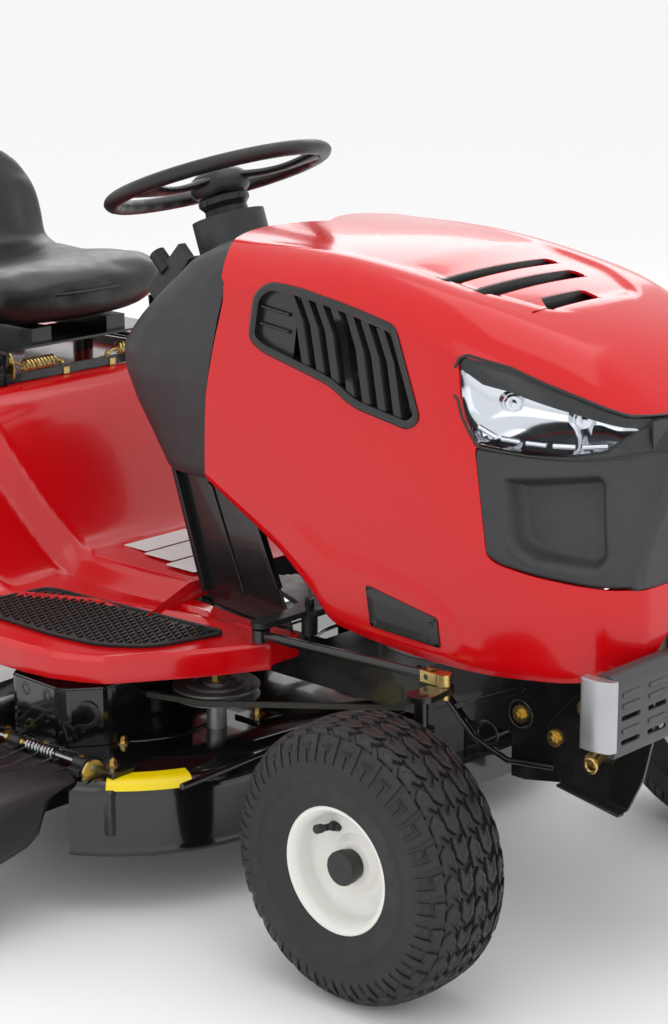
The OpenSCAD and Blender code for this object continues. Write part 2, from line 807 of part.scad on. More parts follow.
module knuckle(side) {
    y = side * kingpin_y;
    color([0.08, 0.08, 0.08]) place() {
        difference() {
            union() {
                translate([front(0), y, front_r - 22]) cylinder(h = knuckle_arm_z + 4 - front_r + 22, d = kingpin_d);
                translate([front(0), y, front_r - 24]) cylinder(h = 239 - front_r + 24, d = 38);
                y_pin([front(0), y + side * 66, front_r], hub_bore_d, 132);
                y_pin([front(0), y + side * 14, front_r], 34, 16);
                // Tie rod arm, pointing back
                translate([front(0), y, 0]) layer(tie_rod_z - 13, tie_rod_z - 5) hull() {
                    circle(18);
                    translate([-tie_arm_l, 0]) circle(14);
                }
            }
            translate([front(-tie_arm_l), y, 150]) cylinder(h = 100, d = 12);
        }
        if (side < 0) difference() {
            // Drag link arm, pointing inward
            translate([front(0), y, 0]) layer(knuckle_arm_z - 5, knuckle_arm_z + 3) hull() {
                circle(19);
                translate([0, drag_arm_l]) circle(14);
            }
            translate([front(0), y, 0]) cylinder(h = 1000, d = kingpin_d - 4);
            translate([front(0), y + drag_arm_l, 300]) cylinder(h = 200, d = 10);
        }
    }
}

module knuckle_left() { knuckle(1); }

module knuckle_right() { knuckle(-1); }

module tie_rod() {
    x = front(-tie_arm_l);
    color([0.55, 0.55, 0.56]) place() {
        bar([x, -kingpin_y + 10, tie_rod_z + 4], [x, kingpin_y - 10, tie_rod_z + 4], 14);
        for (s = [-1, 1]) {
            translate([x, s * kingpin_y, tie_rod_z - 4.6]) cylinder(h = 18, d = 26);
            translate([x, s * kingpin_y, tie_rod_z - 20]) cylinder(h = 16, d = s < 0 ? 12 - 2 * fit : 8);
        }
    }
}

module drag_rod_end() {
    x = front(0);
    y = -kingpin_y + drag_arm_l;
    color([0.80, 0.62, 0.25]) place() {
        translate([x, y, rod_end_z - 8.6]) cylinder(h = 17, d = 22);
        translate([x, y, knuckle_arm_z - 14]) cylinder(h = 22, d = 10 - 2 * fit);
        translate([x, y, knuckle_arm_z - 15]) cylinder(h = 9.8, d = 18);
        difference() {
            translate([x - 34, y - 9, rod_end_z - 8]) cube([30, 18, 16]);
            y_pin([x - 24, y, rod_end_z], 8 + 2 * fit, 40);
            translate([x - 40, y - 5, rod_end_z - 20]) cube([26, 10, 40]);
        }
    }
}

module drag_link() {
    p_front = [front(-24), -kingpin_y + drag_arm_l, rod_end_z];
    p_rear = [sector_x, sector_y - sector_arm_l, sector_z - 12.4];
    dir = unit(p_rear - p_front);
    color([0.05, 0.05, 0.05]) place() {
        bar(p_front + 11 * dir, p_rear + [12, 0, 0], drag_link_d);
        y_pin(p_front, 8, 18);
        translate(p_front + [-14, -4.8, -6]) cube([14, 9.6, 12]);
        translate(p_rear - [0, 0, 9]) cylinder(h = 18, d = 26);
    }
}

module sector_gear() {
    color([0.4, 0.4, 0.41]) place() difference() {
        union() {
            translate([sector_x, sector_y, 0]) layer(sector_z, sector_z + 8) {
                intersection() {
                    union() {
                        circle(sector_pitch_r - 4);
                        for (i = [-7:7]) rotate(sector_dir + i * 4.2) translate([sector_pitch_r - 5, 0])
                            square([9, 5.6], center = true);
                    }
                    rotate(sector_dir) polygon([[-10, 0], [200, 120], [200, -120]]);
                }
                circle(24);
                translate([-14, -sector_arm_l]) square([28, sector_arm_l]);
                translate([0, -sector_arm_l]) circle(14);
            }
            translate([sector_x, sector_y, rail_top + 6]) cylinder(h = sector_z - rail_top - 5, d = 24);
        }
        translate([sector_x, sector_y, 300]) cylinder(h = 200, d = stud_d + 2 * fit);
    }
}

module steering_shaft() {
    color([0.5, 0.5, 0.51]) place() {
        along_column(-shaft_l) cylinder(h = shaft_l - 20, d = shaft_d);
        along_column(-shaft_l - 6) cylinder(h = 26, r = pinion_pitch_r - 2);
        along_column(-shaft_l - 40) cylinder(h = 40, d = shaft_d - 4);
    }
}

module steering_wheel() {
    r = wheel_d / 2 - wheel_rim_d / 2;
    color([0.05, 0.05, 0.05]) place() along_column(0) difference() {
        union() {
            rotate_extrude() translate([r, 0]) circle(d = wheel_rim_d);
            translate([0, 0, -26]) cylinder(h = 36, d = 92);
            for (a = [35, 145, 270]) rotate([0, 0, a]) translate([30, -22, -10]) cube([r - 32, 44, 12]);
        }
        translate([0, 0, -40]) cylinder(h = 30, d = shaft_d + 0.1);
    }
}

// Wheels

module tyre(x, y, r, w, bead_r) {
    shoulder = w * 0.24;
    color([0.05, 0.05, 0.05]) place() translate([x, y, r]) rotate([90, 0, 0]) rotate_extrude($fn = 96)
        difference() {
            union() {
                translate([bead_r, -w * 0.40]) square([r - shoulder - bead_r, w * 0.80]);
                translate([bead_r + 10, -w / 2]) square([r - shoulder - bead_r - 10, w]);
                translate([r - shoulder - 2, -w / 2 + shoulder]) square([shoulder + 2, w - 2 * shoulder]);
                for (s = [-1, 1]) translate([r - shoulder, s * (w / 2 - shoulder)]) circle(shoulder);
            }
            translate([bead_r - 10, -w * 0.32]) square([r - bead_r - 8, w * 0.64]);
        }
}

// A dished steel rim with a hub, turned about y
module rim(x, y, side, r, w, bead_r, bore, hub_in, hub_out) {
    h = w * 0.40 + 0.4;
    translate([x, y, r]) rotate([-90 * side, 0, 0]) rotate_extrude($fn = 96) {
        translate([bead_r - 4, -h]) square([3.6, 2 * h]);
        translate([bead_r - 4, h]) square([13.6, 4]);
        translate([bead_r - 4, -h - 4]) square([13.6, 4]);
        translate([26, -10]) square([bead_r - 29, 4]);
        translate([bore / 2, -hub_in]) square([28 - bore / 2, hub_in + hub_out]);
    }
}

module front_tyre_left() { tyre(front(0), front_wheel_y, front_r, front_tyre_w, front_bead_r); }

module front_tyre_right() { tyre(front(0), -front_wheel_y, front_r, front_tyre_w, front_bead_r); }

module rear_tyre_left() { tyre(0, rear_wheel_y, rear_r, rear_tyre_w, rear_bead_r); }

module rear_tyre_right() { tyre(0, -rear_wheel_y, rear_r, rear_tyre_w, rear_bead_r); }

module front_rim(side) {
    color([0.86, 0.86, 0.83]) place()
        rim(front(0), side * front_wheel_y, side, front_r, front_tyre_w, front_bead_r, hub_bore_d + 2 * fit, 46, 44);
}

module rear_rim(side) {
    color([0.86, 0.86, 0.83]) place() {
        rim(0, side * rear_wheel_y, side, rear_r, rear_tyre_w, rear_bead_r, axle_shaft_d, 80, 52);
        y_pin([0, side * (rear_wheel_y + 70) / 2, rear_r], axle_shaft_d - 2 * fit, rear_wheel_y + 30);
    }
}

module front_rim_left() { front_rim(1); }

module front_rim_right() { front_rim(-1); }

module rear_rim_left() { rear_rim(1); }

module rear_rim_right() { rear_rim(-1); }

// Mower deck

// Plan outline round the two blade chambers
module deck_outline(grow) {
    hull() {
        translate([spindle_right_x, -spindle_y]) circle(blade_chamber_r + grow);
        translate([spindle_left_x, spindle_y]) circle(blade_chamber_r + grow);
    }
}

module at_spindles() {
    translate([spindle_right_x, -spindle_y, 0]) children();
    translate([spindle_left_x, spindle_y, 0]) children();
}

module deck_shell() {
    color([0.03, 0.03, 0.03]) place() difference() {
        layer(deck_bottom, deck_top) deck_outline(0);
        layer(deck_bottom - 1, deck_top - deck_t) deck_outline(-deck_t);
        // Discharge opening on the right
        translate([deflector_x0 + 8, -700, deck_bottom - 1]) cube([deflector_x1 - deflector_x0 - 16, 205, deck_h - 16]);
        at_spindles() cylinder(h = 400, d = 62);
    }
}

module spindle_housings() {
    color([0.6, 0.6, 0.61]) place() {
        at_spindles() difference() {
            union() {
                translate([0, 0, deck_top - 34]) cylinder(h = 78, d = 60);
                translate([0, 0, deck_top + 0.2]) cylinder(h = 8, d = 116);
            }
            cylinder(h = 400, d = spindle_d);
            for (i = [0:3]) rotate(45 + i * 90) translate([46, 0, 0]) cylinder(h = 400, d = 8);
        }
        // Post of the idler
        translate([idler_x, idler_y, deck_top]) cylinder(h = belt_z - deck_top + 12, d = 17);
        translate([idler_x, idler_y, deck_top]) cylinder(h = belt_z - deck_top - 9, d = 30);
    }
}

module belt_covers() {
    z1 = 292;
    color([0.04, 0.04, 0.04]) place() for (k = [-1, 1]) {
        c = k < 0 ? spindle_right_x : spindle_left_x;
        translate([c, k * spindle_y, 0]) difference() {
            translate([-74, k < 0 ? -168 : -60, deck_top + 0.2]) cube([148, 228, z1 - deck_top]);
            translate([-71, k < 0 ? -165 : -300, deck_top]) cube([142, 465, z1 - deck_top - 3]);
            translate([-100, k < 0 ? -75 : -300, deck_top - 1]) cube([200, 375, z1 - deck_top - 3]);
            translate([-120, k < 0 ? 60 : -100, deck_top]) cube([240, 40, 200]);
        }
    }
}

module blade_spindle(x, y) {
    z = deck_bottom + 14;
    color([0.4, 0.4, 0.42]) place() translate([x, y, 0]) {
        cylinder_between(z + 6.2, belt_z + 14, spindle_d - 2 * fit);
        translate([0, 0, belt_z]) rotate_extrude() pulley_profile(deck_pulley_r, spindle_d - 2 * fit + 0.1);
        difference() {
            union() {
                translate([-30, -blade_l / 2, z]) cube([60, blade_l, 6]);
                for (k = [-1, 1]) scale([k, k, 1]) translate([12, blade_l / 2 - 110, z + 5.8])
                    rotate([0, -32, 0]) cube([26, 104, 4]);
            }
            translate([0, 0, z - 1]) cylinder(h = 10, d = 16);
        }
        translate([0, 0, z - 12]) cylinder(h = 11.8, d = 30);
        translate([0, 0, z - 4]) cylinder(h = 12, d = 15.8);
    }
}

module cylinder_between(z0, z1, d) {
    translate([0, 0, z0]) cylinder(h = z1 - z0, d = d);
}

module blade_spindle_left() { blade_spindle(spindle_left_x, spindle_y); }

module blade_spindle_right() { blade_spindle(spindle_right_x, -spindle_y); }

module deck_idler() {
    color([0.35, 0.35, 0.36]) place()
        translate([idler_x, idler_y, belt_z]) rotate_extrude() pulley_profile(idler_r, 17 + 2 * fit);
}

module belt_loop(grow) {
    hull() {
        translate([crank_x, 0]) circle(crank_pulley_r + grow, $fn = 32);
        translate([idler_x, idler_y]) circle(idler_r + grow, $fn = 32);
        translate([spindle_right_x, -spindle_y]) circle(deck_pulley_r + grow, $fn = 32);
        translate([spindle_left_x, spindle_y]) circle(deck_pulley_r + grow, $fn = 32);
    }
}

module deck_belt() {
    color([0.16, 0.15, 0.12]) place() layer(belt_z - 4, belt_z + 4) difference() {
        belt_loop(4.6);
        belt_loop(-0.4);
    }
}

module deflector() {
    l = deflector_x1 - deflector_x0 - 2;
    top = deck_top + 4;
    color([0.12, 0.12, 0.12]) place() translate([deflector_x0 + 1, 0, 0]) difference() {
        union() {
            rotate([90, 0, 90]) linear_extrude(l) sheet([
                [deflector_hinge_y - 6, top], [-600, top], [-715, deck_top - 14], [-752, deck_top - 42],
                [deflector_out_y + 2, deck_bottom + 14]
            ], -4);
            for (x = [0, l - 4]) translate([x, 0, 0]) rotate([90, 0, 90]) linear_extrude(4) polygon([
                [-556, top + 1], [-600, top + 1], [-716, deck_top - 13], [-753, deck_top - 41],
                [deflector_out_y + 1, deck_bottom + 16], [-700, deck_bottom + 6], [-556, deck_bottom + 50]
            ]);
            for (x = [16, l / 2, l - 16]) {
                x_pin([x, deflector_hinge_y, deflector_hinge_z], 18, 24);
                translate([x - 12, deflector_hinge_y - 16, top]) cube([24, 14, 10]);
            }
        }
        x_pin([l / 2, deflector_hinge_y, deflector_hinge_z], 8.6, l + 10);
    }
}

module deflector_hinge() {
    y = deflector_hinge_y;
    z = deflector_hinge_z;
    color([0.45, 0.43, 0.4]) place() {
        x_pin([(deflector_x0 + deflector_x1) / 2, y, z], 8, deflector_x1 - deflector_x0 + 24);
        // Brackets on the deck, and the two torsion springs
        for (x = [deflector_x0 - 8, deflector_x1 + 4]) difference() {
            translate([x, y - 9, deck_top + 0.2]) cube([4, 34, 26]);
            x_pin([x, y, z], 8, 40);
        }
        for (x = [deflector_x0 + 86, deflector_x1 - 84]) difference() {
            x_pin([x, y, z], 14.6, 62);
            x_pin([x, y, z], 8.6, 80);
        }
    }
}

module lift_links() {
    color([0.25, 0.25, 0.26]) place() both_sides() difference() {
        slab(207, 4) polygon([
            [lift_pin_x - 16, deck_top + 0.2], [lift_pin_x + 50, deck_top + 0.2], [lift_pin_x + 22, lift_pin_z + 14],
            [lift_pin_x - 16, lift_pin_z + 14]
        ]);
        translate([lift_pin_x - 7, 200, lift_pin_z - 7]) cube([17, 14, 14]);
    }
}

// Controls

module lift_lever() {
    color([0.08, 0.08, 0.08]) place() {
        y_pin([lift_x, (210 - 253) / 2, lift_z], lift_shaft_d, 463);
        both_sides() difference() {
            union() {
                slab(195, 6) polygon([
                    [lift_x - 16, lift_z - 8], [lift_x - 8, lift_z + 16], [lift_pin_x - 2, lift_pin_z + 11],
                    [lift_pin_x + 12, lift_pin_z], [lift_pin_x + 4, lift_pin_z - 11], [lift_x + 8, lift_z - 15]
                ]);
                y_pin([lift_pin_x, 203, lift_pin_z], 10, 18);
            }
            y_pin([lift_x, 195, lift_z], lift_shaft_d, 7);
        }
        slab(-lever_y, 6) polygon([
            [lift_x - 12, lift_z - 6], [lift_x + 12, lift_z + 6], [lift_x - 206, 652], [lift_x - 226, 650]
        ]);
        bar([lift_x - 210, -lever_y, 640], [lift_x - 236, -lever_y, 728], 22);
    }
}

module brake_pedal() {
    color([0.07, 0.07, 0.07]) place() {
        difference() {
            slab(rail_y + 24, 8) polygon([
                [pedal_x - 16, pedal_z - 14], [pedal_x + 16, pedal_z - 14], [pedal_x + 12, pedal_z + 16],
                [pedal_x - 30, 452], [pedal_x - 44, 448]
            ]);
            y_pin([pedal_x, rail_y + 24, pedal_z], stud_d + 2 * fit, 40);
        }
        translate([pedal_x - 44, rail_y + 20, 428]) rotate([0, 24, 0]) cube([10, 100, 52]);
    }
}

module speed_lever() {
    color([0.06, 0.06, 0.06]) place() {
        difference() {
            slab(lever_y, 6) polygon([
                [speed_x - 14, speed_z - 12], [speed_x + 14, speed_z - 10], [speed_x - 28, 650], [speed_x - 42, 648]
            ]);
            y_pin([speed_x, lever_y, speed_z], stud_d + 2 * fit, 40);
        }
        bar([speed_x - 34, lever_y, 642], [speed_x - 42, lever_y, 722], 22);
    }
}

module direction_lever() {
    color([0.06, 0.06, 0.06]) place() {
        difference() {
            slab(direction_y, 6) polygon([
                [direction_x - 14, direction_z - 12], [direction_x + 14, direction_z - 12],
                [direction_x + 18, 640], [direction_x + 6, 640]
            ]);
            y_pin([direction_x, direction_y, direction_z], stud_d + 2 * fit, 40);
        }
        bar([direction_x + 12, direction_y, 632], [direction_x + 14, direction_y, 668], 20);
    }
}

// A short lever that stands square to the dash face
module dash_lever(k, knob_d) {
    on_dash_slope(k * dash_lever_y, -80) {
        difference() {
            translate([-8, -2.5, -8]) cube([16, 5, 128]);
            rotate([90, 0, 0]) cylinder(h = 20, d = 8 + 2 * fit, center = true);
        }
        translate([0, 0, 112]) cylinder(h = 34, d = knob_d);
    }
}

module throttle_lever() {
    color([0.6, 0.05, 0.05]) place() dash_lever(1, 22);
}

module blade_lever() {
    color([0.85, 0.7, 0.05]) place() dash_lever(-1, 26);
}

module ignition_key() {
    color([0.5, 0.5, 0.52]) place() on_dash_slope(key_y, 0) {
        translate([0, 0, -24]) cylinder(h = 32, d = 24);
        translate([-2, -11, 7]) cube([4, 22, 26]);
    }
}

module hex_bolt(d, l, head) {
    cylinder(h = l, d = d);
    translate([0, 0, -head]) cylinder(h = head + 0.1, d = 1.8 * d, $fn = 6);
}

module chassis_bolts() {
    color([0.80, 0.62, 0.25]) place() {
        // Front axle pivot bolt
        x_pin([front(0), 0, axle_pin_z], axle_pin_d, 2 * axle_carrier_x + 20);
        both_sides() {
            // Hood hinge pins
            y_pin([hood_hinge_x, rail_in_y - 9, hood_hinge_z], hinge_pin_d, 20);
            // Bolts through the bumper arms and the rails
            for (p = arm_bolts) translate([p[0], rail_y + 5.4, p[1]]) rotate([90, 0, 0]) hex_bolt(10.9, 12, 6);
        }
        // Pivot pins of the dash levers
        both_sides() y_pin([dash_lever_x, 127, dash_lever_z], 8, 90);
    }
}

frame_rail_left();
frame_rail_right();
frame_crossmembers();
front_bumper();
bumper_caps();
dash_legs();
dash_panel();
column_cover();
fender();
foot_pads();
engine_block();
engine_shroud();
muffler();
fuel_tank();
fuel_cap();
battery();
transaxle();
seat_base();
chassis_bolts();
seat_pan();
seat_cushion();
hood();
hood_trim();
headlight_reflectors();
headlight_lenses();
front_axle();
knuckle_left();
knuckle_right();
front_tyre_left();
front_tyre_right();
front_rim_left();
front_rim_right();
rear_tyre_left();
rear_tyre_right();
rear_rim_left();
rear_rim_right();
tie_rod();
drag_rod_end();
drag_link();
sector_gear();
steering_shaft();
steering_wheel();
deck_shell();
spindle_housings();
belt_covers();
blade_spindle_left();
blade_spindle_right();
deck_idler();
deck_belt();
deflector();
deflector_hinge();
lift_links();
lift_lever();
brake_pedal();
speed_lever();
direction_lever();
blade_lever();
throttle_lever();
ignition_key();
crank_pulley();
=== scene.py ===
import math

import bmesh
import bpy
from mathutils import Matrix, Vector


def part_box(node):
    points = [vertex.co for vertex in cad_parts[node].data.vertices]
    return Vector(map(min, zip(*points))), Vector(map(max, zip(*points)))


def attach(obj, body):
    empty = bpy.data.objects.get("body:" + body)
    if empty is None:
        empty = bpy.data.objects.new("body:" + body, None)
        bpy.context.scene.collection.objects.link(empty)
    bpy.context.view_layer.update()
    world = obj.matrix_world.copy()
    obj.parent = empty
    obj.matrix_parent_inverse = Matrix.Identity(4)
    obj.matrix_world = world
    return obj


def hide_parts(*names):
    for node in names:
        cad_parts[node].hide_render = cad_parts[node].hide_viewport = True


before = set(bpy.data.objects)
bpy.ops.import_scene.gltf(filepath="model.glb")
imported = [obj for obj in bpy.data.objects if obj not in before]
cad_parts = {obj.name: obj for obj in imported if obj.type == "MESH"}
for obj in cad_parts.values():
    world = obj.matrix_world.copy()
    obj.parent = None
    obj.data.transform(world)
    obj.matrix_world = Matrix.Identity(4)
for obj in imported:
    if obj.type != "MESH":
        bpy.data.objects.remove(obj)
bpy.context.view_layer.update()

# ---------------------------------------------------------------------------
# Where things are. Sizes below are in millimetres, measured as a mechanic would:
# x forward of the rear axle, y to the left of the middle, z above the ground.
rear_left, rear_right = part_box("rear_tyre_left"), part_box("rear_tyre_right")
rear_axle_x = (rear_left[0].x + rear_left[1].x) / 2
middle_y = (rear_left[1].y + rear_right[0].y) / 2


def at(x, y, z):
    return Vector((rear_axle_x + x / 1000, middle_y + y / 1000, z / 1000))


# ---------------------------------------------------------------------------
# Camera: a long lens at chest height, off the right front corner.
camera = bpy.data.objects.new("camera", bpy.data.cameras.new("camera"))
bpy.context.scene.collection.objects.link(camera)
bpy.context.scene.camera = camera
camera_azimuth, camera_elevation = math.radians(42.35), math.radians(14.75)
look = Vector((
    -math.sin(camera_azimuth) * math.cos(camera_elevation),
    math.cos(camera_azimuth) * math.cos(camera_elevation),
    -math.sin(camera_elevation),
))
side = Vector((math.cos(camera_azimuth), math.sin(camera_azimuth), 0))
rise = side.cross(look)
camera.matrix_world = Matrix((side, rise, -look)).transposed().to_4x4()
camera.location = at(3155, -2568, 1420)
camera.data.lens = 84.8
camera.data.shift_x = -0.0264
camera.data.clip_start, camera.data.clip_end = 0.05, 100

# ---------------------------------------------------------------------------
# Studio: a pale floor that runs out of view, and large soft lights overhead.
floor_mesh = bmesh.new()
bmesh.ops.create_grid(floor_mesh, x_segments=1, y_segments=1, size=60)
floor = bpy.data.objects.new("floor", bpy.data.meshes.new("floor"))
floor_mesh.to_mesh(floor.data)
bpy.context.scene.collection.objects.link(floor)
floor_finish = bpy.data.materials.new("floor")
floor_finish.use_nodes = True
floor_shader = floor_finish.node_tree.nodes["Principled BSDF"]
floor_shader.inputs["Base Color"].default_value = (0.93, 0.93, 0.93, 1)
floor_shader.inputs["Roughness"].default_value = 0.9
floor_shader.inputs["Specular IOR Level"].default_value = 0.1
floor.data.materials.append(floor_finish)

sky = bpy.data.worlds.new("studio")
bpy.context.scene.world = sky
sky.use_nodes = True
sky.node_tree.nodes["Background"].inputs["Color"].default_value = (1, 1, 1, 1)
sky.node_tree.nodes["Background"].inputs["Strength"].default_value = 1.0
bpy.context.scene.view_settings.view_transform = "Standard"


def softbox(name, place, aim, width, height, power):
    lamp = bpy.data.lights.new(name, "AREA")
    lamp.shape = "RECTANGLE"
    lamp.size, lamp.size_y, lamp.energy = width, height, power
    o = bpy.data.objects.new(name, lamp)
    bpy.context.scene.collection.objects.link(o)
    o.location = Vector(place)
    o.rotation_euler = (Vector(aim) - Vector(place)).to_track_quat("-Z", "Y").to_euler()


softbox("overhead_light", (0.6, 0.4, 4.2), (0, 0, 0.3), 4.5, 3.0, 45)
softbox("side_light", (0.6, -4.6, 2.2), (0.1, 0, 0.5), 3.2, 2.2, 14)
softbox("front_light", (5.0, -0.8, 1.8), (0.6, 0, 0.5), 2.4, 2.4, 8)
softbox("rim_light", (-2.6, 3.6, 2.8), (0, 0, 0.6), 3.0, 1.6, 30)

# ---------------------------------------------------------------------------
# Chassis: folded and welded steel channels, powder coated in gloss black.
# The coating pools slightly, which breaks up the reflections.


def nodes_of(name):
    """A new material with its node tree, shader and object coordinates."""
    made = bpy.data.materials.new(name)
    made.use_nodes = True
    tree = made.node_tree
    place = tree.nodes.new("ShaderNodeTexCoord")
    return made, tree, tree.nodes["Principled BSDF"], place.outputs["Object"]


def noise(tree, coords, scale, detail=3.0, rough=0.55):
    n = tree.nodes.new("ShaderNodeTexNoise")
    n.inputs["Scale"].default_value = scale
    n.inputs["Detail"].default_value = detail
    n.inputs["Roughness"].default_value = rough
    tree.links.new(coords, n.inputs["Vector"])
    return n.outputs["Fac"]


def ramp(tree, fac, low, high):
    n = tree.nodes.new("ShaderNodeMapRange")
    n.inputs["To Min"].default_value = low
    n.inputs["To Max"].default_value = high
    n.inputs["From Min"].default_value = 0.3
    n.inputs["From Max"].default_value = 0.7
    tree.links.new(fac, n.inputs["Value"])
    return n.outputs["Result"]


def bump(tree, height, strength, distance, after=None):
    n = tree.nodes.new("ShaderNodeBump")
    n.inputs["Strength"].default_value = strength
    n.inputs["Distance"].default_value = distance
    tree.links.new(height, n.inputs["Height"])
    if after is not None:
        tree.links.new(after, n.inputs["Normal"])
    return n.outputs["Normal"]


def finish(name, colour, rough, grain=0.0, grain_size=1.0, ripple=0.0, metallic=0.0, coat=0.0, shade=0.12):
    """A surface of one colour with cloudy shade, uneven gloss, a fine grain and a slow ripple."""
    made, tree, shader, coords = nodes_of(name)
    dirt = noise(tree, coords, 9.0, 4.0)
    mix = tree.nodes.new("ShaderNodeMix")
    mix.data_type = "RGBA"
    mix.inputs["A"].default_value = (*[c * (1 - shade) for c in colour], 1)
    mix.inputs["B"].default_value = (*[min(1, c * (1 + shade)) for c in colour], 1)
    tree.links.new(dirt, mix.inputs["Factor"])
    tree.links.new(mix.outputs["Result"], shader.inputs["Base Color"])
    gloss = ramp(tree, noise(tree, coords, 40.0, 2.0), rough * 0.85, min(1, rough * 1.15))
    tree.links.new(gloss, shader.inputs["Roughness"])
    shader.inputs["Metallic"].default_value = metallic
    if coat:
        shader.inputs["Coat Weight"].default_value = coat
        shader.inputs["Coat Roughness"].default_value = 0.03
    normal = None
    if ripple:
        normal = bump(tree, noise(tree, coords, 14.0, 1.0), ripple, 0.002, normal)
    if grain:
        normal = bump(tree, noise(tree, coords, 900.0 / grain_size, 2.0), grain, 0.0006, normal)
    if normal is not None:
        tree.links.new(normal, shader.inputs["Normal"])
    return made


black_coat = finish("black_powder_coat", (0.006, 0.006, 0.0065), 0.24, ripple=0.12, coat=0.3)
dull_black = finish("moulded_black_plastic", (0.009, 0.009, 0.0095), 0.48, grain=0.35, grain_size=1.6)


def paint_nodes(finish_made, *names):
    for n in names:
        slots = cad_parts[n].data.materials
        slots.clear()
        slots.append(finish_made)


paint_nodes(black_coat, "frame_rail_left", "frame_rail_right", "frame_crossmembers", "front_axle",
    "knuckle_left",
            "knuckle_right", "lift_lever", "brake_pedal", "seat_base", "seat_pan")


to_metres = Matrix.Translation(at(0, 0, 0)) @ Matrix.Scale(0.001, 4)


def outward(bm):
    """Turns every face of a shape outwards."""
    bmesh.ops.recalc_face_normals(bm, faces=bm.faces[:])


def skin(bm, rows):
    """Faces between neighbouring rows of points."""
    for one, two in zip(rows, rows[1:]):
        for k in range(len(one) - 1):
            bm.faces.new((one[k], one[k + 1], two[k + 1], two[k]))


def wrap(bm, rings):
    """Faces between neighbouring closed rings of points."""
    made = []
    for one, two in zip(rings, rings[1:]):
        n = len(one)
        for k in range(n):
            made.append(bm.faces.new((one[k], one[(k + 1) % n], two[(k + 1) % n], two[k])))
    return made


def thicken(o, wall):
    """Gives an open sheet its thickness in metres, inwards from the drawn face."""
    m = o.modifiers.new("thickness", "SOLIDIFY")
    m.thickness, m.offset = wall, -1


def new_piece(bm, name, made, body, replaces=(), smooth=32, bevel=0.0, segments=2, level=0):
    """Turns a shape drawn in millimetres into a finished piece that rides on a body."""
    bmesh.ops.remove_doubles(bm, verts=bm.verts, dist=0.01)
    bmesh.ops.transform(bm, matrix=to_metres, verts=bm.verts)
    mesh = bpy.data.meshes.new(name)
    bm.to_mesh(mesh)
    bm.free()
    mesh.set_sharp_from_angle(angle=math.radians(smooth))
    for p in mesh.polygons:
        p.use_smooth = True
    mesh.materials.append(made)
    o = bpy.data.objects.new(name, mesh)
    bpy.context.scene.collection.objects.link(o)
    if bevel:
        b = o.modifiers.new("edges", "BEVEL")
        b.width, b.segments, b.limit_method = bevel / 1000, segments, "ANGLE"
        b.angle_limit = math.radians(max(30, smooth))
        b.harden_normals = False
    if level:
        s = o.modifiers.new("round", "SUBSURF")
        s.levels = s.render_levels = level
    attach(o, body)
    if replaces:
        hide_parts(*replaces)
    return o


def block(bm, low, high, turn=None):
    """A box between two corners, optionally turned by a matrix about its middle."""
    low, high = Vector(low), Vector(high)
    made = bmesh.ops.create_cube(bm, size=1)["verts"]
    mid = (low + high) / 2
    spin = turn.to_4x4() if turn else Matrix.Identity(4)
    m = Matrix.Translation(mid) @ spin @ Matrix.Diagonal((*(high - low), 1))
    bmesh.ops.transform(bm, matrix=m, verts=made)
    return made


def rod(bm, a, b, d, sides=24, d2=None):
    a, b = Vector(a), Vector(b)
    m = Matrix.Translation((a + b) / 2) @ (b - a).to_track_quat("Z", "Y").to_matrix().to_4x4()
    return bmesh.ops.create_cone(bm, cap_ends=True, segments=sides, radius1=d / 2,
        radius2=(d if d2 is None else d2) / 2,
                                 depth=(b - a).length, matrix=m)["verts"]


def plate(bm, outline, axis, low, high):
    """A flat outline given a thickness along one axis. The outline runs anticlockwise in the other two axes."""
    i = "xyz".index(axis)

    def point(p, h):
        q = list(p)
        q.insert(i, h)
        return Vector(q)

    start = [bm.verts.new(point(p, low)) for p in outline]
    end = [bm.verts.new(point(p, high)) for p in outline]
    n = len(outline)
    made = [bm.faces.new(start), bm.faces.new(end)]
    for k in range(n):
        made.append(bm.faces.new((start[k], start[(k + 1) % n], end[(k + 1) % n], end[k])))
    bmesh.ops.recalc_face_normals(bm, faces=made)
    return start + end


def side_plate(bm, outline, k, inner, outer):
    """A plate on one side of the middle, from inner to outer in y: k is 1 on the left and -1 on the right."""
    plate(bm, outline, "y", min(k * inner, k * outer), max(k * inner, k * outer))


def turned(bm, profile, centre, axis, sides=64):
    """A closed outline of (radius, height) turned about an axis through centre."""
    m = Matrix.Translation(Vector(centre)) @ Vector(axis).to_track_quat("Z", "Y").to_matrix().to_4x4()
    rings = []
    for k in range(sides):
        a = 2 * math.pi * k / sides
        rings.append([bm.verts.new(m @ Vector((r * math.cos(a), r * math.sin(a), h))) for r, h in profile])
    made = []
    n = len(profile)
    for k in range(sides):
        one, two = rings[k], rings[(k + 1) % sides]
        for j in range(n):
            corners = [one[j], two[j], two[(j + 1) % n], one[(j + 1) % n]]
            if profile[j][0] < 1e-6:
                corners = [one[j], two[(j + 1) % n], one[(j + 1) % n]]
            elif profile[(j + 1) % n][0] < 1e-6:
                corners = [one[j], two[j], one[(j + 1) % n]]
            if profile[j][0] < 1e-6 and profile[(j + 1) % n][0] < 1e-6:
                continue
            made.append(bm.faces.new(corners))
    bmesh.ops.recalc_face_normals(bm, faces=made)


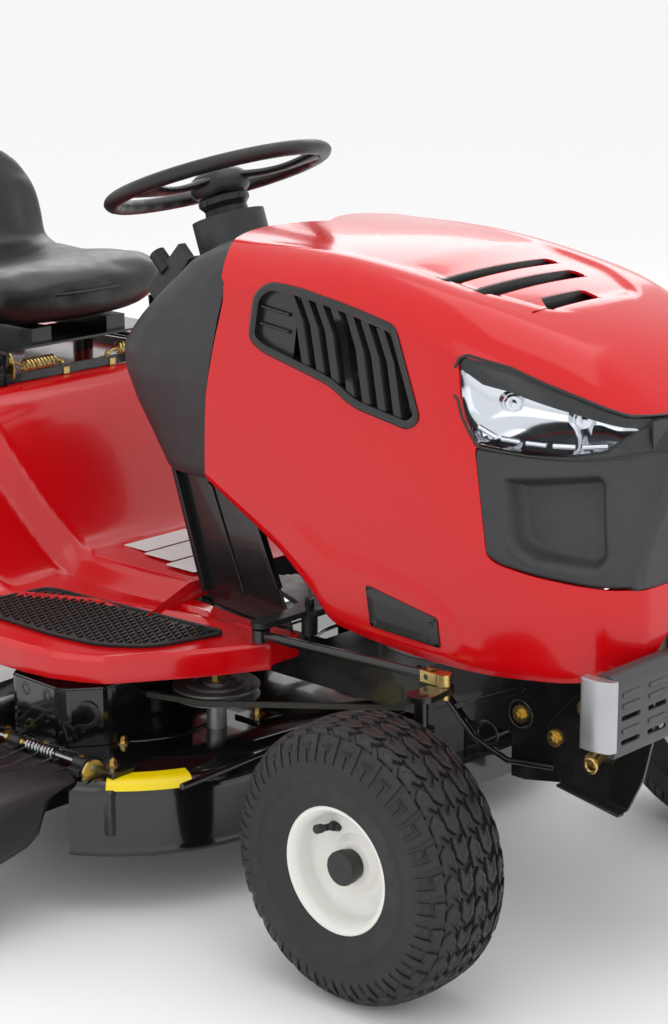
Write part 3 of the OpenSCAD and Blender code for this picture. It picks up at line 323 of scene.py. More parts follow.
def tube(bm, path, r, sides=16, closed=False):
    """A round tube along a list of points."""
    path = [Vector(p) for p in path]
    n = len(path)
    rings = []
    normal = None
    for i, p in enumerate(path):
        a = path[(i - 1) % n] if (closed or i > 0) else p
        b = path[(i + 1) % n] if (closed or i < n - 1) else p
        t = (b - a).normalized()
        if normal is None:
            normal = t.orthogonal().normalized()
        normal = (normal - t * normal.dot(t)).normalized()
        other = t.cross(normal)
        size = r(i / (n - 1)) if callable(r) else r
        rings.append([bm.verts.new(p + size * (math.cos(q) * normal + math.sin(q) * other))
                      for q in (2 * math.pi * k / sides for k in range(sides))])
    made = []
    for i in range(n if closed else n - 1):
        one, two = rings[i], rings[(i + 1) % n]
        shift = 0
        if closed and i == n - 1:
            shift = min(range(sides), key=lambda s: (one[0].co - two[s].co).length)
        for k in range(sides):
            made.append(bm.faces.new((one[k], one[(k + 1) % sides], two[(k + 1 + shift) % sides],
                two[(k + shift) % sides])))
    if not closed:
        made += [bm.faces.new(rings[0]), bm.faces.new(rings[-1])]
    bmesh.ops.recalc_face_normals(bm, faces=made)


def mirrored(bm):
    """Adds the copy of everything drawn so far on the other side of the middle."""
    copy = bmesh.ops.duplicate(bm, geom=bm.verts[:] + bm.edges[:] + bm.faces[:])["geom"]
    verts = [g for g in copy if isinstance(g, bmesh.types.BMVert)]
    faces = [g for g in copy if isinstance(g, bmesh.types.BMFace)]
    bmesh.ops.transform(bm, matrix=Matrix.Diagonal((1, -1, 1, 1)), verts=verts)
    bmesh.ops.reverse_faces(bm, faces=faces)

# ---------------------------------------------------------------------------
# Front bumper: dark grey moulded plate with a rolled top edge, three rows of embossed
# louvres and two rows of slots, closed by a brushed silver cap at each end.
bumper_grey = finish("bumper_grey_plastic", (0.045, 0.046, 0.05), 0.38, grain=0.3, grain_size=1.8)


def cut(o, *cutters):
    """Cuts shapes out of a piece, exactly, and leaves a plain mesh."""
    for c in cutters:
        m = o.modifiers.new("cut", "BOOLEAN")
        m.operation, m.object, m.solver = "DIFFERENCE", c, "EXACT"
    bpy.context.view_layer.update()
    done = bpy.data.meshes.new_from_object(o.evaluated_get(bpy.context.evaluated_depsgraph_get()))
    o.modifiers.clear()
    old = o.data
    o.data = done
    bpy.data.meshes.remove(old)
    for c in cutters:
        bpy.data.objects.remove(c)


def cutter(bm):
    bmesh.ops.transform(bm, matrix=to_metres, verts=bm.verts)
    outward(bm)
    mesh = bpy.data.meshes.new("cutter")
    bm.to_mesh(mesh)
    bm.free()
    o = bpy.data.objects.new("cutter", mesh)
    bpy.context.scene.collection.objects.link(o)
    return o


def rounded(points, r, n=5):
    """A closed outline with its corners rounded."""
    out = []
    count = len(points)
    for i, p in enumerate(points):
        p = Vector(p)
        a, b = Vector(points[i - 1]) - p, Vector(points[(i + 1) % count]) - p
        rr = r[i] if isinstance(r, (list, tuple)) else r
        reach = min(rr, a.length * 0.45, b.length * 0.45)
        start, end = p + a.normalized() * reach, p + b.normalized() * reach
        for k in range(n + 1):
            t = k / n
            out.append(tuple((1 - t) ** 2 * start + 2 * t * (1 - t) * p + t * t * end))
    return out


bm = bmesh.new()
profile = [(1466, 354), (1476, 352), (1478, 356), (1478, 442), (1476, 452), (1470, 459), (1461, 461),
    (1450, 459),
           (1450, 456), (1461, 457.5), (1468, 455), (1473, 449), (1474.5, 441), (1474.5, 357), (1466, 357)]
plate(bm, profile, "y", -258, 258)
louvre_pitch = 56
bumper = new_piece(bm, "bumper_plate", bumper_grey, "chassis", ["front_bumper"], smooth=40)
bm = bmesh.new()
for i in range(-4, 5):
    for z in (367, 399):
        plate(bm, rounded([(i * louvre_pitch - 21, z), (i * louvre_pitch + 19, z),
            (i * louvre_pitch + 19, z + 7), (i * louvre_pitch - 21, z + 7)], 3.2, 3), "x", 1440, 1500)
cut(bumper, cutter(bm))
bm = bmesh.new()
for i in range(-4, 5):
    for z in (382, 415, 430):
        plate(bm, rounded([(i * louvre_pitch - 20, z), (i * louvre_pitch + 18, z),
            (i * louvre_pitch + 18, z + 6.5), (i * louvre_pitch - 20, z + 6.5)], 3, 3), "x", 1477, 1479.8)
new_piece(bm, "bumper_louvres", bumper_grey, "chassis", smooth=35, bevel=1.0)

brushed_silver = finish("brushed_silver_plastic", (0.45, 0.46, 0.48), 0.32, grain=0.25, grain_size=4,
    metallic=0.75)
bm = bmesh.new()
for k in (-1, 1):
    cap = rounded([(1432, k * 258), (1432, k * 274), (1462, k * 276), (1480, k * 270), (1482, k * 258)],
        [2, 8, 12, 12, 2], 4)
    plate(bm, cap, "z", 362, 456)
new_piece(bm, "bumper_end_caps", brushed_silver, "chassis", ["bumper_caps"], smooth=35, bevel=5,
    segments=4)

# Bumper brackets: black pressed steel arms bolted to the rails, with a shaped lower edge.
bm = bmesh.new()
arm = rounded([(1330, 258), (1435, 240), (1462, 296), (1475, 352), (1475, 450), (1428, 430), (1386, 396),
    (1352, 388), (1304, 334), (1304, 306)],
              [16, 14, 10, 4, 4, 10, 10, 14, 14, 10])
for k in (-1, 1):
    side_plate(bm, arm, k, 168.4, 173)
for k in (-1, 1):
    lip = [(1332, 258), (1434, 241), (1434, 244.5), (1332, 261.5)]
    side_plate(bm, lip, k, 173, 186)
new_piece(bm, "bumper_brackets", black_coat, "chassis", smooth=35, bevel=0.8)

# Bolts and washers on the brackets: zinc plated hexagons on pressed washers.
gold_zinc = finish("yellow_zinc_plate", (0.62, 0.45, 0.17), 0.28, grain=0.2, metallic=1.0, shade=0.25)


def bolt(bm, place, aim, d=16, washer=24):
    aim = Vector(aim).normalized()
    place = Vector(place)
    rod(bm, place, place + aim * 2.2, washer, 28)
    rod(bm, place + aim * 2.2, place + aim * 9, d, 6)
    rod(bm, place + aim * 9, place + aim * 11.5, d * 0.55, 16)


bm = bmesh.new()
for k in (-1, 1):
    for x, z in ((1320, 320), (1368, 372), (1257, 337)):
        bolt(bm, (x, k * (173.4 if x > 1300 else 168.2), z), (0, k, 0), 15, 25)
    rod(bm, (1392, k * 173, 316), (1392, k * 190, 310), 22, 24)
    tube(bm, [(1392 + 9 * math.cos(a), k * 191,
        304 + 9 * math.sin(a)) for a in (2 * math.pi * i / 20 for i in range(20))], 2.6, 8, True)
new_piece(bm, "bracket_bolts", gold_zinc, "chassis", smooth=35)

# Shallow round dimples pressed round the rail bolts, and the folded ridge along the rail.
bm = bmesh.new()
for k in (-1, 1):
    for x, z, d in ((1257, 337, 44), (1200, 296, 40)):
        turned(bm, [(d / 2 - 5, 0), (d / 2, 0), (d / 2 - 1.6, 2.6), (d / 2 - 4, 2.6)], (x, k * 168.2, z),
            (0, k, 0), 32)
    side_plate(bm, [(1108, 302), (1262, 368), (1268, 376), (1262, 378), (1104, 308)], k, 168.2, 172)
    tube(bm, [(1130, k * 171, 330), (1180, k * 172, 286), (1240, k * 173, 268), (1320, k * 174, 278)], 4.5, 10)
new_piece(bm, "rail_pressings", black_coat, "chassis", smooth=35, bevel=0.8)

# ---------------------------------------------------------------------------
# Dash shroud: charcoal moulding with a fine grain behind the hood. It leans back and
# narrows at its foot, with a sloping face for the levers and a well for the column.
charcoal_grain = finish("charcoal_grained_plastic", (0.027, 0.028, 0.031), 0.48, grain=0.45, grain_size=1.3)


def along(points, x):
    """Straight-line values between (x, value) points."""
    for (x0, v0), (x1, v1) in zip(points, points[1:]):
        if x <= x1:
            return v0 + (v1 - v0) * max(0, (x - x0) / (x1 - x0))
    return points[-1][1]


side_rear = [(574, 612), (589, 607), (673, 569), (748, 560), (770, 570), (796, 590), (840, 640), (881, 696),
    (900, 735), (912, 745)]
mid_rear = [(574, 545), (640, 500), (716, 458), (750, 460), (790, 498), (840, 552), (882, 596), (905, 640),
    (914, 690)]
half_width = [(574, 196), (640, 205), (716, 219), (750, 221), (820, 219), (882, 211), (905, 196), (914, 180)]
front_edge = [(574, 690), (594, 699), (696, 714), (845, 749), (881, 750), (914, 750)]
bm = bmesh.new()
rows = []
levels = ([574, 576, 580, 590] + [600 + 12 * i for i in range(9)] + [704 + 6 * i for i in range(16)]
          + [802 + 9 * i for i in range(9)] + [880, 888, 895, 901, 906, 910, 913])
for z in levels:
    xs, xm, hw, xf = along(side_rear, z), along(mid_rear, z), along(half_width, z), along(front_edge, z)
    row = []
    for i in range(-40, 41):
        t = i / 40
        a = abs(t)
        if a > 0.72:
            q = (a - 0.72) / 0.28
            x, y = xs + 24 + (xf - xs - 24) * q, hw + 2 * math.sin(q * math.pi)
        else:
            q = a / 0.72
            c = q * math.pi / 2
            x = xm + (xs + 24 - xm) * (1 - math.cos(c) ** 0.95)
            y = hw * math.sin(c) ** 0.92
        if z in (574, 576):
            x, y = x + (8 if z == 574 else 3), y * (0.975 if z == 574 else 0.99)
        row.append(bm.verts.new((x, math.copysign(y, t), z)))
    rows.append(row)
skin(bm, rows)
top = rows[-1]
for k in range(40):
    if k < 39:
        bm.faces.new((top[k], top[k + 1], top[79 - k], top[80 - k]))
    else:
        bm.faces.new((top[39], top[40], top[41]))
outward(bm)
dash = new_piece(bm, "dash_shroud", charcoal_grain, "chassis", ["dash_panel"], smooth=40)
thicken(dash, 0.0035)
slope = math.radians(46.8)
up_slope = Vector((-math.sin(slope), 0, math.cos(slope)))
across_slope = Vector((math.cos(slope), 0, math.sin(slope)))
lever_pivot = Vector((590, 0, 770))
tilt = math.radians(20)
column = Vector((-math.sin(tilt), 0, math.cos(tilt)))
wheel_middle = Vector((520, 0, 978))
cutters = []
bm = bmesh.new()
rod(bm, wheel_middle - column * 330, wheel_middle - column * 60, 112, 48)
cutters.append(cutter(bm))
for k in (-95, 95):
    bm = bmesh.new()
    turn = Matrix((across_slope, Vector((0, 1, 0)), up_slope)).transposed()
    mid = lever_pivot + up_slope * 80 + Vector((0, k, 0))
    block(bm, mid - Vector((52, 7, 40)), mid + Vector((52, 7, 40)), turn)
    cutters.append(cutter(bm))
cut(dash, *cutters)
dash.data.set_sharp_from_angle(angle=math.radians(40))

# Lever plates on the sloping face: thin black plates with raised quadrant ribs.
bm = bmesh.new()
for k in (-95, 95):
    mid = lever_pivot + up_slope * 84 + Vector((0, k, 0))
    for s in (-1, 1):
        block(bm, mid + Vector((-60, s * 13 - 4, -2)), mid + Vector((60, s * 13 + 4, 2)), turn)
    for s in (-1, 1):
        end = mid + across_slope * s * 60
        block(bm, end - Vector((4, 17, 2)), end + Vector((4, 17, 2)), turn)
new_piece(bm, "lever_plates", dull_black, "chassis", smooth=35, bevel=0.8)

# ---------------------------------------------------------------------------
# Dash legs: black pressed steel side plates that carry the dash, with a long crease and
# bolts at both ends, zinc at the front foot and black elsewhere.
bm = bmesh.new()
leg = rounded([(592, 584), (576, 772), (590, 784), (606, 776), (640, 584), (738, 584), (792, 466), (836, 366),
    (832, 340), (808, 332),
               (680, 360), (669, 384), (655, 410)], [3, 8, 8, 8, 3, 3, 6, 8, 10, 10, 10, 10, 8])
for k in (-1, 1):
    side_plate(bm, leg, k, 168.3, 172.2)
    for low, high in (((742, 584), (814, 424)), ((600, 580), (664, 392))):
        a, b = Vector((low[0], 0, low[1])), Vector((high[0], 0, high[1]))
        along_leg = (b - a).normalized()
        across = Vector((along_leg.z, 0, -along_leg.x))
        corners = [a - across * 5, a + across * 3, b + across * 3, b - across * 5]
        side_plate(bm, [(p.x, p.z) for p in corners], k, 172, 184)
    rib = [(664, 560), (676, 556), (742, 400), (730, 396)]
    side_plate(bm, rounded(rib, 5, 3), k, 172, 175)
block(bm, (690, -169, 580), (816, 169, 584))
new_piece(bm, "dash_leg_plates", black_coat, "chassis", ["dash_legs"], smooth=35, bevel=1.2)
bm = bmesh.new()
for k in (-1, 1):
    bolt(bm, (824, k * 172.4, 353), (0, k, 0), 15, 24)
new_piece(bm, "dash_leg_lower_bolts", gold_zinc, "chassis", smooth=35)
bm = bmesh.new()
for k in (-1, 1):
    bolt(bm, (704, k * 172.4, 568), (0, k, 0), 13, 19)
    bolt(bm, (742, k * 172.4, 350), (0, k, 0), 13, 19)
new_piece(bm, "dash_leg_upper_bolts", black_coat, "chassis", smooth=35)

# ---------------------------------------------------------------------------
# Steering column cover: black moulded cone with a stepped collar under the wheel.
smooth_black = finish("smooth_black_plastic", (0.009, 0.009, 0.0095), 0.32, grain=0.12)
bm = bmesh.new()
turned(bm, [(9.6, -165), (49, -165), (32.5, -48), (35, -44), (38.5, -40), (38.5, -31), (36, -28), (9.6, -28)],
    wheel_middle, column, 64)
for k in range(8):
    a = k * math.pi / 4
    radial = Vector((math.cos(a) * math.cos(tilt), math.sin(a), math.cos(a) * math.sin(tilt)))
    block(bm, wheel_middle - column * 36 + radial * 37.6 - Vector((1.6, 3, 3.5)),
        wheel_middle - column * 36 + radial * 37.6 + Vector((1.6, 3, 3.5)),
          radial.to_track_quat("X", "Z").to_matrix())
new_piece(bm, "column_cone", smooth_black, "chassis", ["column_cover"], smooth=35)

# ---------------------------------------------------------------------------
# Steering wheel: soft black grained rim moulded over steel, with finger bumps inside the
# rim, a parting seam, three curved spokes and a domed centre.
wheel_rubber = finish("soft_grained_black", (0.010, 0.010, 0.0105), 0.42, grain=0.8, grain_size=2.4)
to_wheel = Matrix((Vector((math.cos(tilt), 0, math.sin(tilt))), Vector((0, 1, 0)),
    column)).transposed().to_4x4()
to_wheel.translation = wheel_middle
rim_r = 165
bm = bmesh.new()
rings = []
for i in range(180):
    a = 2 * math.pi * i / 180
    ring = []
    bumps = 0.5 + 0.5 * math.cos(a * 28)
    for j in range(20):
        b = 2 * math.pi * j / 20
        inner = max(0, -math.cos(b)) ** 1.5 * (0.4 + 0.6 * max(0, -math.sin(b) + 0.4))
        rr, zz = 13.0 * math.cos(b), 11.2 * math.sin(b)
        if j in (0, 10):
            rr *= 1.035
        reach = rim_r + rr - 2.6 * inner * bumps
        ring.append(bm.verts.new(to_wheel @ Vector((reach * math.cos(a), reach * math.sin(a), zz))))
    rings.append(ring)
for i in range(180):
    one, two = rings[i], rings[(i + 1) % 180]
    for j in range(20):
        bm.faces.new((one[j], two[j], two[(j + 1) % 20], one[(j + 1) % 20]))
turned(bm, [(0, -26), (40, -26), (45, -20), (46, -8), (42, 2), (34, 8), (20, 11), (0, 12)], wheel_middle,
    column, 64)
for angle in (35, 145, 270):
    a = math.radians(angle)
    radial, across = Vector((math.cos(a), math.sin(a), 0)), Vector((-math.sin(a), math.cos(a), 0))
    rows = []
    for i in range(17):
        t = i / 16
        r_now = 34 + 124 * t
        wide = 25 - 11 * math.sin(t * math.pi) + 6 * t ** 3
        z = -5 - 9 * math.sin(t * math.pi) * 0.7
        thick = 7 - 1.5 * math.sin(t * math.pi)
        row = []
        for j in range(14):
            b = 2 * math.pi * j / 14
            p = radial * r_now + across * wide * math.cos(b) + Vector((0, 0,
                z + thick * math.copysign(abs(math.sin(b)) ** 0.7, math.sin(b))))
            row.append(bm.verts.new(to_wheel @ p))
        rows.append(row)
    wrap(bm, rows)
    bm.faces.new(rows[0])
    bm.faces.new(rows[-1])
outward(bm)
new_piece(bm, "steering_wheel_rim", wheel_rubber, "steering", ["steering_wheel"], smooth=50)

# ---------------------------------------------------------------------------
# Fender: one deep-drawn steel panel in red enamel. It carries the seat, arches over the
# rear wheels and runs forward into the running boards, with rolled edges all round.
fender_red = finish("red_enamel_on_steel", (0.58, 0.002, 0.005), 0.18, ripple=0.04, coat=0.25, shade=0.03)


def smooth_line(points, x):
    """A smooth curve through (x, value) points."""
    if x <= points[0][0]:
        return points[0][1]
    if x >= points[-1][0]:
        return points[-1][1]
    for i in range(len(points) - 1):
        (x0, v0), (x1, v1) = points[i], points[i + 1]
        if x <= x1:
            before = points[i - 1] if i else (2 * x0 - x1, 2 * v0 - v1)
            after = points[i + 2] if i + 2 < len(points) else (2 * x1 - x0, 2 * v1 - v0)
            m0, m1 = (v1 - before[1]) / (x1 - before[0]), (after[1] - v0) / (after[0] - x0)
            d = (v1 - v0) / (x1 - x0)
            if m0 * d <= 0:
                m0 = 0
            if m1 * d <= 0:
                m1 = 0
            m0 = max(-3 * abs(d), min(3 * abs(d), m0))
            m1 = max(-3 * abs(d), min(3 * abs(d), m1))
            t, w = (x - x0) / (x1 - x0), x1 - x0
            return ((2 * t ** 3 - 3 * t ** 2 + 1) * v0 + (t ** 3 - 2 * t ** 2 + t) * w * m0
                    + (3 * t ** 2 - 2 * t ** 3) * v1 + (t ** 3 - t ** 2) * w * m1)
    return points[-1][1]


def step(a, b, x):
    t = max(0.0, min(1.0, (x - a) / (b - a)))
    return t * t * (3 - 2 * t)


def deck_height_at(x, y):
    """Height of the pressed panel. The middle part and the wheel arches blend across a soft step."""
    y = abs(y)
    middle = smooth_line([(-332, 560), (-322, 604), (-300, 632), (-270, 640), (200, 640), (236, 634),
        (268, 602), (300, 548),
                          (350, 462), (392, 414), (430, 403), (640, 399)], x)
    arch = smooth_line([(-333, 470), (-322, 540), (-280, 584), (-220, 602), (-150, 606), (150, 606), (205, 600),
        (250, 566),
                        (290, 500), (335, 425), (372, 380), (400, 368), (450, 366), (852, 366)], x)
    edge = 262 - 78 * step(230, 400, x)
    t = step(edge - 4, edge + 16 + 12 * step(200, 380, x), y)
    z = middle * (1 - t) + arch * t
    # Pressed ridge that sweeps from the seat deck to the running board
    sweep = smooth_line([(200, 430), (300, 372), (420, 318), (520, 272), (640, 236), (780, 214)], x)
    ridge = step(300, 380, x) * (1 - step(700, 790, x))
    z += 7 * ridge * (1 - step(0, 22, abs(y - sweep - 4)))
    return z


board = [(400, 484), (500, 484), (600, 481), (650, 474), (700, 454), (730, 437), (790, 350), (820, 300),
    (848, 246), (853, 236)]


def board_half(x):
    return 484 if x < 500 else along(board, x)


bm = bmesh.new()
columns = []
xs = ([-333, -330, -322, -310, -296] + [-280 + 12 * i for i in range(38)] + [180 + 5 * i for i in range(60)]
      + [480 + 8 * i for i in range(46)] + [850, 853])
for x in xs:
    inner = 0 if x < 636 else 178
    outer = board_half(x)
    column_points = []
    for i in range(61):
        t = i / 60
        y = inner + (outer - inner) * t
        if x < 636:
            z = deck_height_at(x, y)
        else:
            z = deck_height_at(x, y) if y > 205 else deck_height_at(x, 240)
        roll = outer - y
        if roll < 7:
            z -= 7 - math.sqrt(max(0, 49 - (7 - roll) ** 2))
        column_points.append((x, y, z))
    drop = 34 if x > 380 else 40
    z = column_points[-1][2]
    for d in (6, 14, 22, drop - 4, drop):
        column_points.append((x, outer + (0.8 if d < drop else -2), z - d))
    columns.append([bm.verts.new(p) for p in column_points])
skin(bm, columns)
# Closed front edge of the running board and rear edge of the panel
for column_verts, forward in ((columns[0], -1), (columns[-1], 1)):
    low = [bm.verts.new((v.co.x + forward * 1.5, v.co.y,
        v.co.z - (34 if forward > 0 else 60))) for v in column_verts[:61]]
    skin(bm, [column_verts[:61], low])
mirrored(bm)
bmesh.ops.remove_doubles(bm, verts=bm.verts, dist=0.05)
outward(bm)
fender = new_piece(bm, "fender_panel", fender_red, "chassis", ["fender"], smooth=50)
thicken(fender, 0.0025)
openings = []
bm = bmesh.new()
block(bm, (-6, -256, 560), (200, -232, 700))
openings.append(cutter(bm))
bm = bmesh.new()
block(bm, (-6, 232, 560), (200, 256, 700))
openings.append(cutter(bm))
bm = bmesh.new()
block(bm, (216, 120, 480), (332, 144, 700))
openings.append(cutter(bm))
cut(fender, *openings)
fender.data.set_sharp_from_angle(angle=math.radians(40))

# Slot guides: black plastic bezels clipped into the lever slots.
bm = bmesh.new()
for k in (-1, 1):
    for x0, x1, y0, y1 in ((-10, 204, k * 244 - 16, k * 244 - 12), (-10, 204, k * 244 + 12, k * 244 + 16),
                           (-10, -6, k * 244 - 16, k * 244 + 16), (200, 204, k * 244 - 16, k * 244 + 16)):
        block(bm, (x0, y0, 632), (x1, y1, 643.5))
new_piece(bm, "lever_slot_bezels", dull_black, "chassis", smooth=35, bevel=0.8)

# ---------------------------------------------------------------------------
# Foot pads: black moulded rubber, raised border round rows of short slanted bars.
pad_rubber = finish("foot_pad_rubber", (0.012, 0.012, 0.012), 0.55, grain=0.4)
pad_outline = rounded([(430, 424), (404, 396), (420, 282), (440, 275), (772, 254), (780, 262), (752, 368),
    (690, 414), (600, 426)],
                      [8, 10, 10, 10, 6, 6, 30, 30, 20], 5)


def inside(outline, x, y):
    hit = False
    for (x0, y0), (x1, y1) in zip(outline, outline[1:] + outline[:1]):
        if (y0 > y) != (y1 > y) and x < x0 + (x1 - x0) * (y - y0) / (y1 - y0):
            hit = not hit
    return hit


bm = bmesh.new()
plate(bm, pad_outline, "z", 366.3, 369)
border = [Vector((x, y, 370)) for x, y in pad_outline]
tube(bm, border, 2.8, 8, True)
for i in range(34):
    for j in range(14):
        x, y = 400 + i * 12, 252 + j * 14 + (7 if i % 2 else 0)
        corners = [(x - 2, y - 5), (x + 2.4, y - 5), (x + 5, y + 5), (x + 0.6, y + 5)]
        if all(inside(pad_outline, a + s * 4, b + q * 4) for a, b in corners for s in (-1, 1) for q in (-1, 1)):
            plate(bm, corners, "z", 368.6, 372)
mirrored(bm)
new_piece(bm, "foot_pads_ribbed", pad_rubber, "chassis", ["foot_pads"], smooth=30)

# Plain blank label panels on the tunnel between the boards.
label_white = finish("label_white", (0.75, 0.75, 0.73), 0.4, shade=0.02)
bm = bmesh.new()
for x0, x1, y0, y1 in ((400, 470, -118, 14), (476, 540, -130, -20), (546, 610, -150, -60)):
    top_z = 403.6
    plate(bm, rounded([(x0, y0), (x1, y0), (x1, y1), (x0, y1)], 4, 3), "z", top_z, top_z + 0.6)
new_piece(bm, "blank_labels", label_white, "chassis", smooth=30)

# ---------------------------------------------------------------------------
# Seat: foam cushion and low back covered in soft black vinyl over a steel pan. The cover
# puffs between its seams and creases where the back meets the cushion.
seat_vinyl = finish("soft_black_vinyl", (0.009, 0.009, 0.0095), 0.36, grain=0.55, grain_size=3.2, ripple=0.12,
    shade=0.1)


def through(p0, p1, p2, p3, t):
    """A value on the smooth curve that runs from p1 to p2."""
    return 0.5 * ((2 * p1) + (-p0 + p2) * t + (2 * p0 - 5 * p1 + 4 * p2 - p3) * t * t
                  + (-p0 + 3 * p1 - 3 * p2 + p3) * t ** 3)


# One shell: cushion and back, drawn as a side profile swept across the seat's width.
seat_profile = [  # x, z, half width
    (190, 722, 150), (205, 735, 170), (214, 756, 188), (212, 778, 194), (196, 797, 196), (168, 808, 202),
    (130, 812, 212), (80, 808, 220),
    (20, 800, 224), (-40, 796, 226), (-90, 798, 227), (-118, 806, 227), (-132, 822, 226), (-138, 850, 224),
    (-146, 890, 214),
    (-156, 930, 190), (-166, 960, 150), (-178, 980, 108), (-192, 987, 86), (-208, 984, 84), (-220, 970, 96),
    (-228, 940, 150),
    (-230, 900, 190), (-228, 860, 210), (-222, 810, 216), (-208, 768, 214), (-180, 738, 206), (-130, 724, 196),
    (-60, 719, 188), (60, 718, 176), (140, 718, 160)]
bm = bmesh.new()
across = 44
sheets = []
n = len(seat_profile)
smooth_profile = []
for i in range(n):
    p0, p1, p2, p3 = (seat_profile[(i + k) % n] for k in (-1, 0, 1, 2))
    for j in range(3):
        t = j / 3
        smooth_profile.append(tuple(through(p0[m], p1[m], p2[m], p3[m], t) for m in range(3)))
for i in range(across + 1):
    s = -1 + 2 * i / across
    ring = []
    for x, z, hw in smooth_profile:
        a = abs(s)
        y = hw * math.sin(s * math.pi / 2)
        shrink = math.cos(s * math.pi / 2) ** 0.42 if a < 1 else 0
        if x < -110 and z > 790:
            mid = (-186, z)
        elif z > 790:
            mid = (min(x, 150), 764)
        else:
            mid = (max(-180, min(x, 160)), 764 if z > 740 else 748)
        px, pz = mid[0] + (x - mid[0]) * shrink, mid[1] + (z - mid[1]) * shrink
        # Bolsters: the sides of the cushion and back stand a little proud of the middle
        proud = 9 * math.exp(-((a - 0.62) / 0.2) ** 2) - 5 * math.exp(-(a / 0.35) ** 2)
        if z > 785 and x > -100:
            pz += proud
        elif x > -150 and z > 815:
            px += proud
        ring.append(bm.verts.new((px, y, pz)))
    sheets.append(ring)
wrap(bm, sheets)
bm.faces.new(sheets[0])
bm.faces.new(sheets[-1])
outward(bm)
seat_cover = new_piece(bm, "seat_cushion_cover", seat_vinyl, "seat", ["seat_cushion"], smooth=60)


def settled(o, voxel, pressure, steps, cap):
    """Puffs a cover with a short cloth run, keeps the change small and makes it permanent."""
    bpy.context.view_layer.objects.active = o
    re = o.modifiers.new("even", "REMESH")
    re.mode, re.voxel_size = "VOXEL", voxel
    bpy.context.view_layer.update()
    done = bpy.data.meshes.new_from_object(o.evaluated_get(bpy.context.evaluated_depsgraph_get()))
    o.modifiers.clear()
    o.data = done
    before = [v.co.copy() for v in o.data.vertices]
    lowest = min(v.z for v in before)
    held = o.vertex_groups.new(name="held")
    for i, v in enumerate(before):
        if v.z < lowest + 0.03:
            held.add([i], 1.0, "REPLACE")
    cloth = o.modifiers.new("cloth", "CLOTH")
    s = cloth.settings
    s.quality, s.mass = 6, 0.4
    s.tension_stiffness = s.compression_stiffness = 12
    s.shear_stiffness, s.bending_stiffness = 6, 0.6
    s.use_pressure, s.uniform_pressure_force = True, pressure
    s.shrink_min = -0.012
    s.effector_weights.gravity = 0
    s.vertex_group_mass = "held"
    cloth.point_cache.frame_start, cloth.point_cache.frame_end = 1, steps
    scene = bpy.context.scene
    for f in range(1, steps + 1):
        scene.frame_set(f)
    done = bpy.data.meshes.new_from_object(o.evaluated_get(bpy.context.evaluated_depsgraph_get()))
    o.modifiers.clear()
    if len(done.vertices) == len(before):
        for v, old in zip(done.vertices, before):
            move = v.co - old
            if move.length > cap:
                v.co = old + move.normalized() * cap
    soft = bmesh.new()
    soft.from_mesh(done)
    for _ in range(10):
        bmesh.ops.smooth_vert(soft, verts=soft.verts, factor=0.5, use_axis_x=True, use_axis_y=True,
            use_axis_z=True)
    soft.to_mesh(done)
    soft.free()
    o.data = done
    scene.frame_set(1)
    for p in o.data.polygons:
        p.use_smooth = True
    o.data.materials.clear()
    o.data.materials.append(seat_vinyl)


settled(seat_cover, 0.006, 1.0, 12, 0.005)
puff = seat_cover.modifiers.new("round", "SUBSURF")
puff.levels = puff.render_levels = 1

# Welt cord sewn round the front and sides of the cushion.
bm = bmesh.new()
welt = []
for i in range(49):
    s = -1 + 2 * i / 48
    a = s * math.pi / 2 * 0.98
    welt.append((-60 + 276 * math.cos(a) ** 0.55, 223 * math.sin(a) if abs(s) < 1 else math.copysign(223, s),
        770))
tube(bm, welt, 2.6, 10)
new_piece(bm, "seat_welt", seat_vinyl, "seat", smooth=60)

# Seat suspension in front: a gold coil spring lies across, with hooked ends on a plated
# bracket, above the black pivot frame with its bolts.
bm = bmesh.new()
for k in (-1, 1):
    turns, r0 = 9, 9.5
    path = []
    for i in range(turns * 20 + 1):
        a = 2 * math.pi * i / 20
        path.append((204 + r0 * math.cos(a), k * (70 + 62 * i / (turns * 20)), 664 + r0 * math.sin(a)))
    tube(bm, path, 1.9, 8)
    tube(bm, [(204, k * 132, 664), (204, k * 140, 668), (204, k * 150, 672), (202, k * 158, 674)], 2.0, 8)
    tube(bm, [(204, k * 70, 664), (204, k * 60, 664), (203, k * 52, 660)], 2.0, 8)
    side_plate(bm, rounded([(186, 646), (214, 646), (216, 668), (206, 690), (190, 690)], 6, 4), k, 158, 161.5)
    block(bm, (188, min(k * 44, k * 56), 641), (214, max(k * 44, k * 56), 652))
    bolt(bm, (200, k * 161.6, 676), (0, k, 0), 13, 18)
    bolt(bm, (201, k * 50, 652), (0, 0, 1), 10, 15)
new_piece(bm, "seat_springs", gold_zinc, "chassis", smooth=45)
bm = bmesh.new()
block(bm, (206, -176, 641), (212, 176, 656))
for k in (-1, 1):
    block(bm, (130, min(k * 182, k * 196), 641), (216, max(k * 182, k * 196), 654))
    rod(bm, (196, k * 176, 676), (196, k * 190, 676), 17, 6)
new_piece(bm, "seat_front_rail", black_coat, "chassis", smooth=35, bevel=1)
bm = bmesh.new()
for x in (-120, 60):
    for k in (-1, 1):
        path = []
        for i in range(5 * 18 + 1):
            a = 2 * math.pi * i / 18
            path.append((x + 14 * math.cos(a), k * 120 + 14 * math.sin(a), 643 + 28 * i / 90))
        tube(bm, path, 2.4, 8)
new_piece(bm, "seat_coil_springs", black_coat, "chassis", smooth=45)

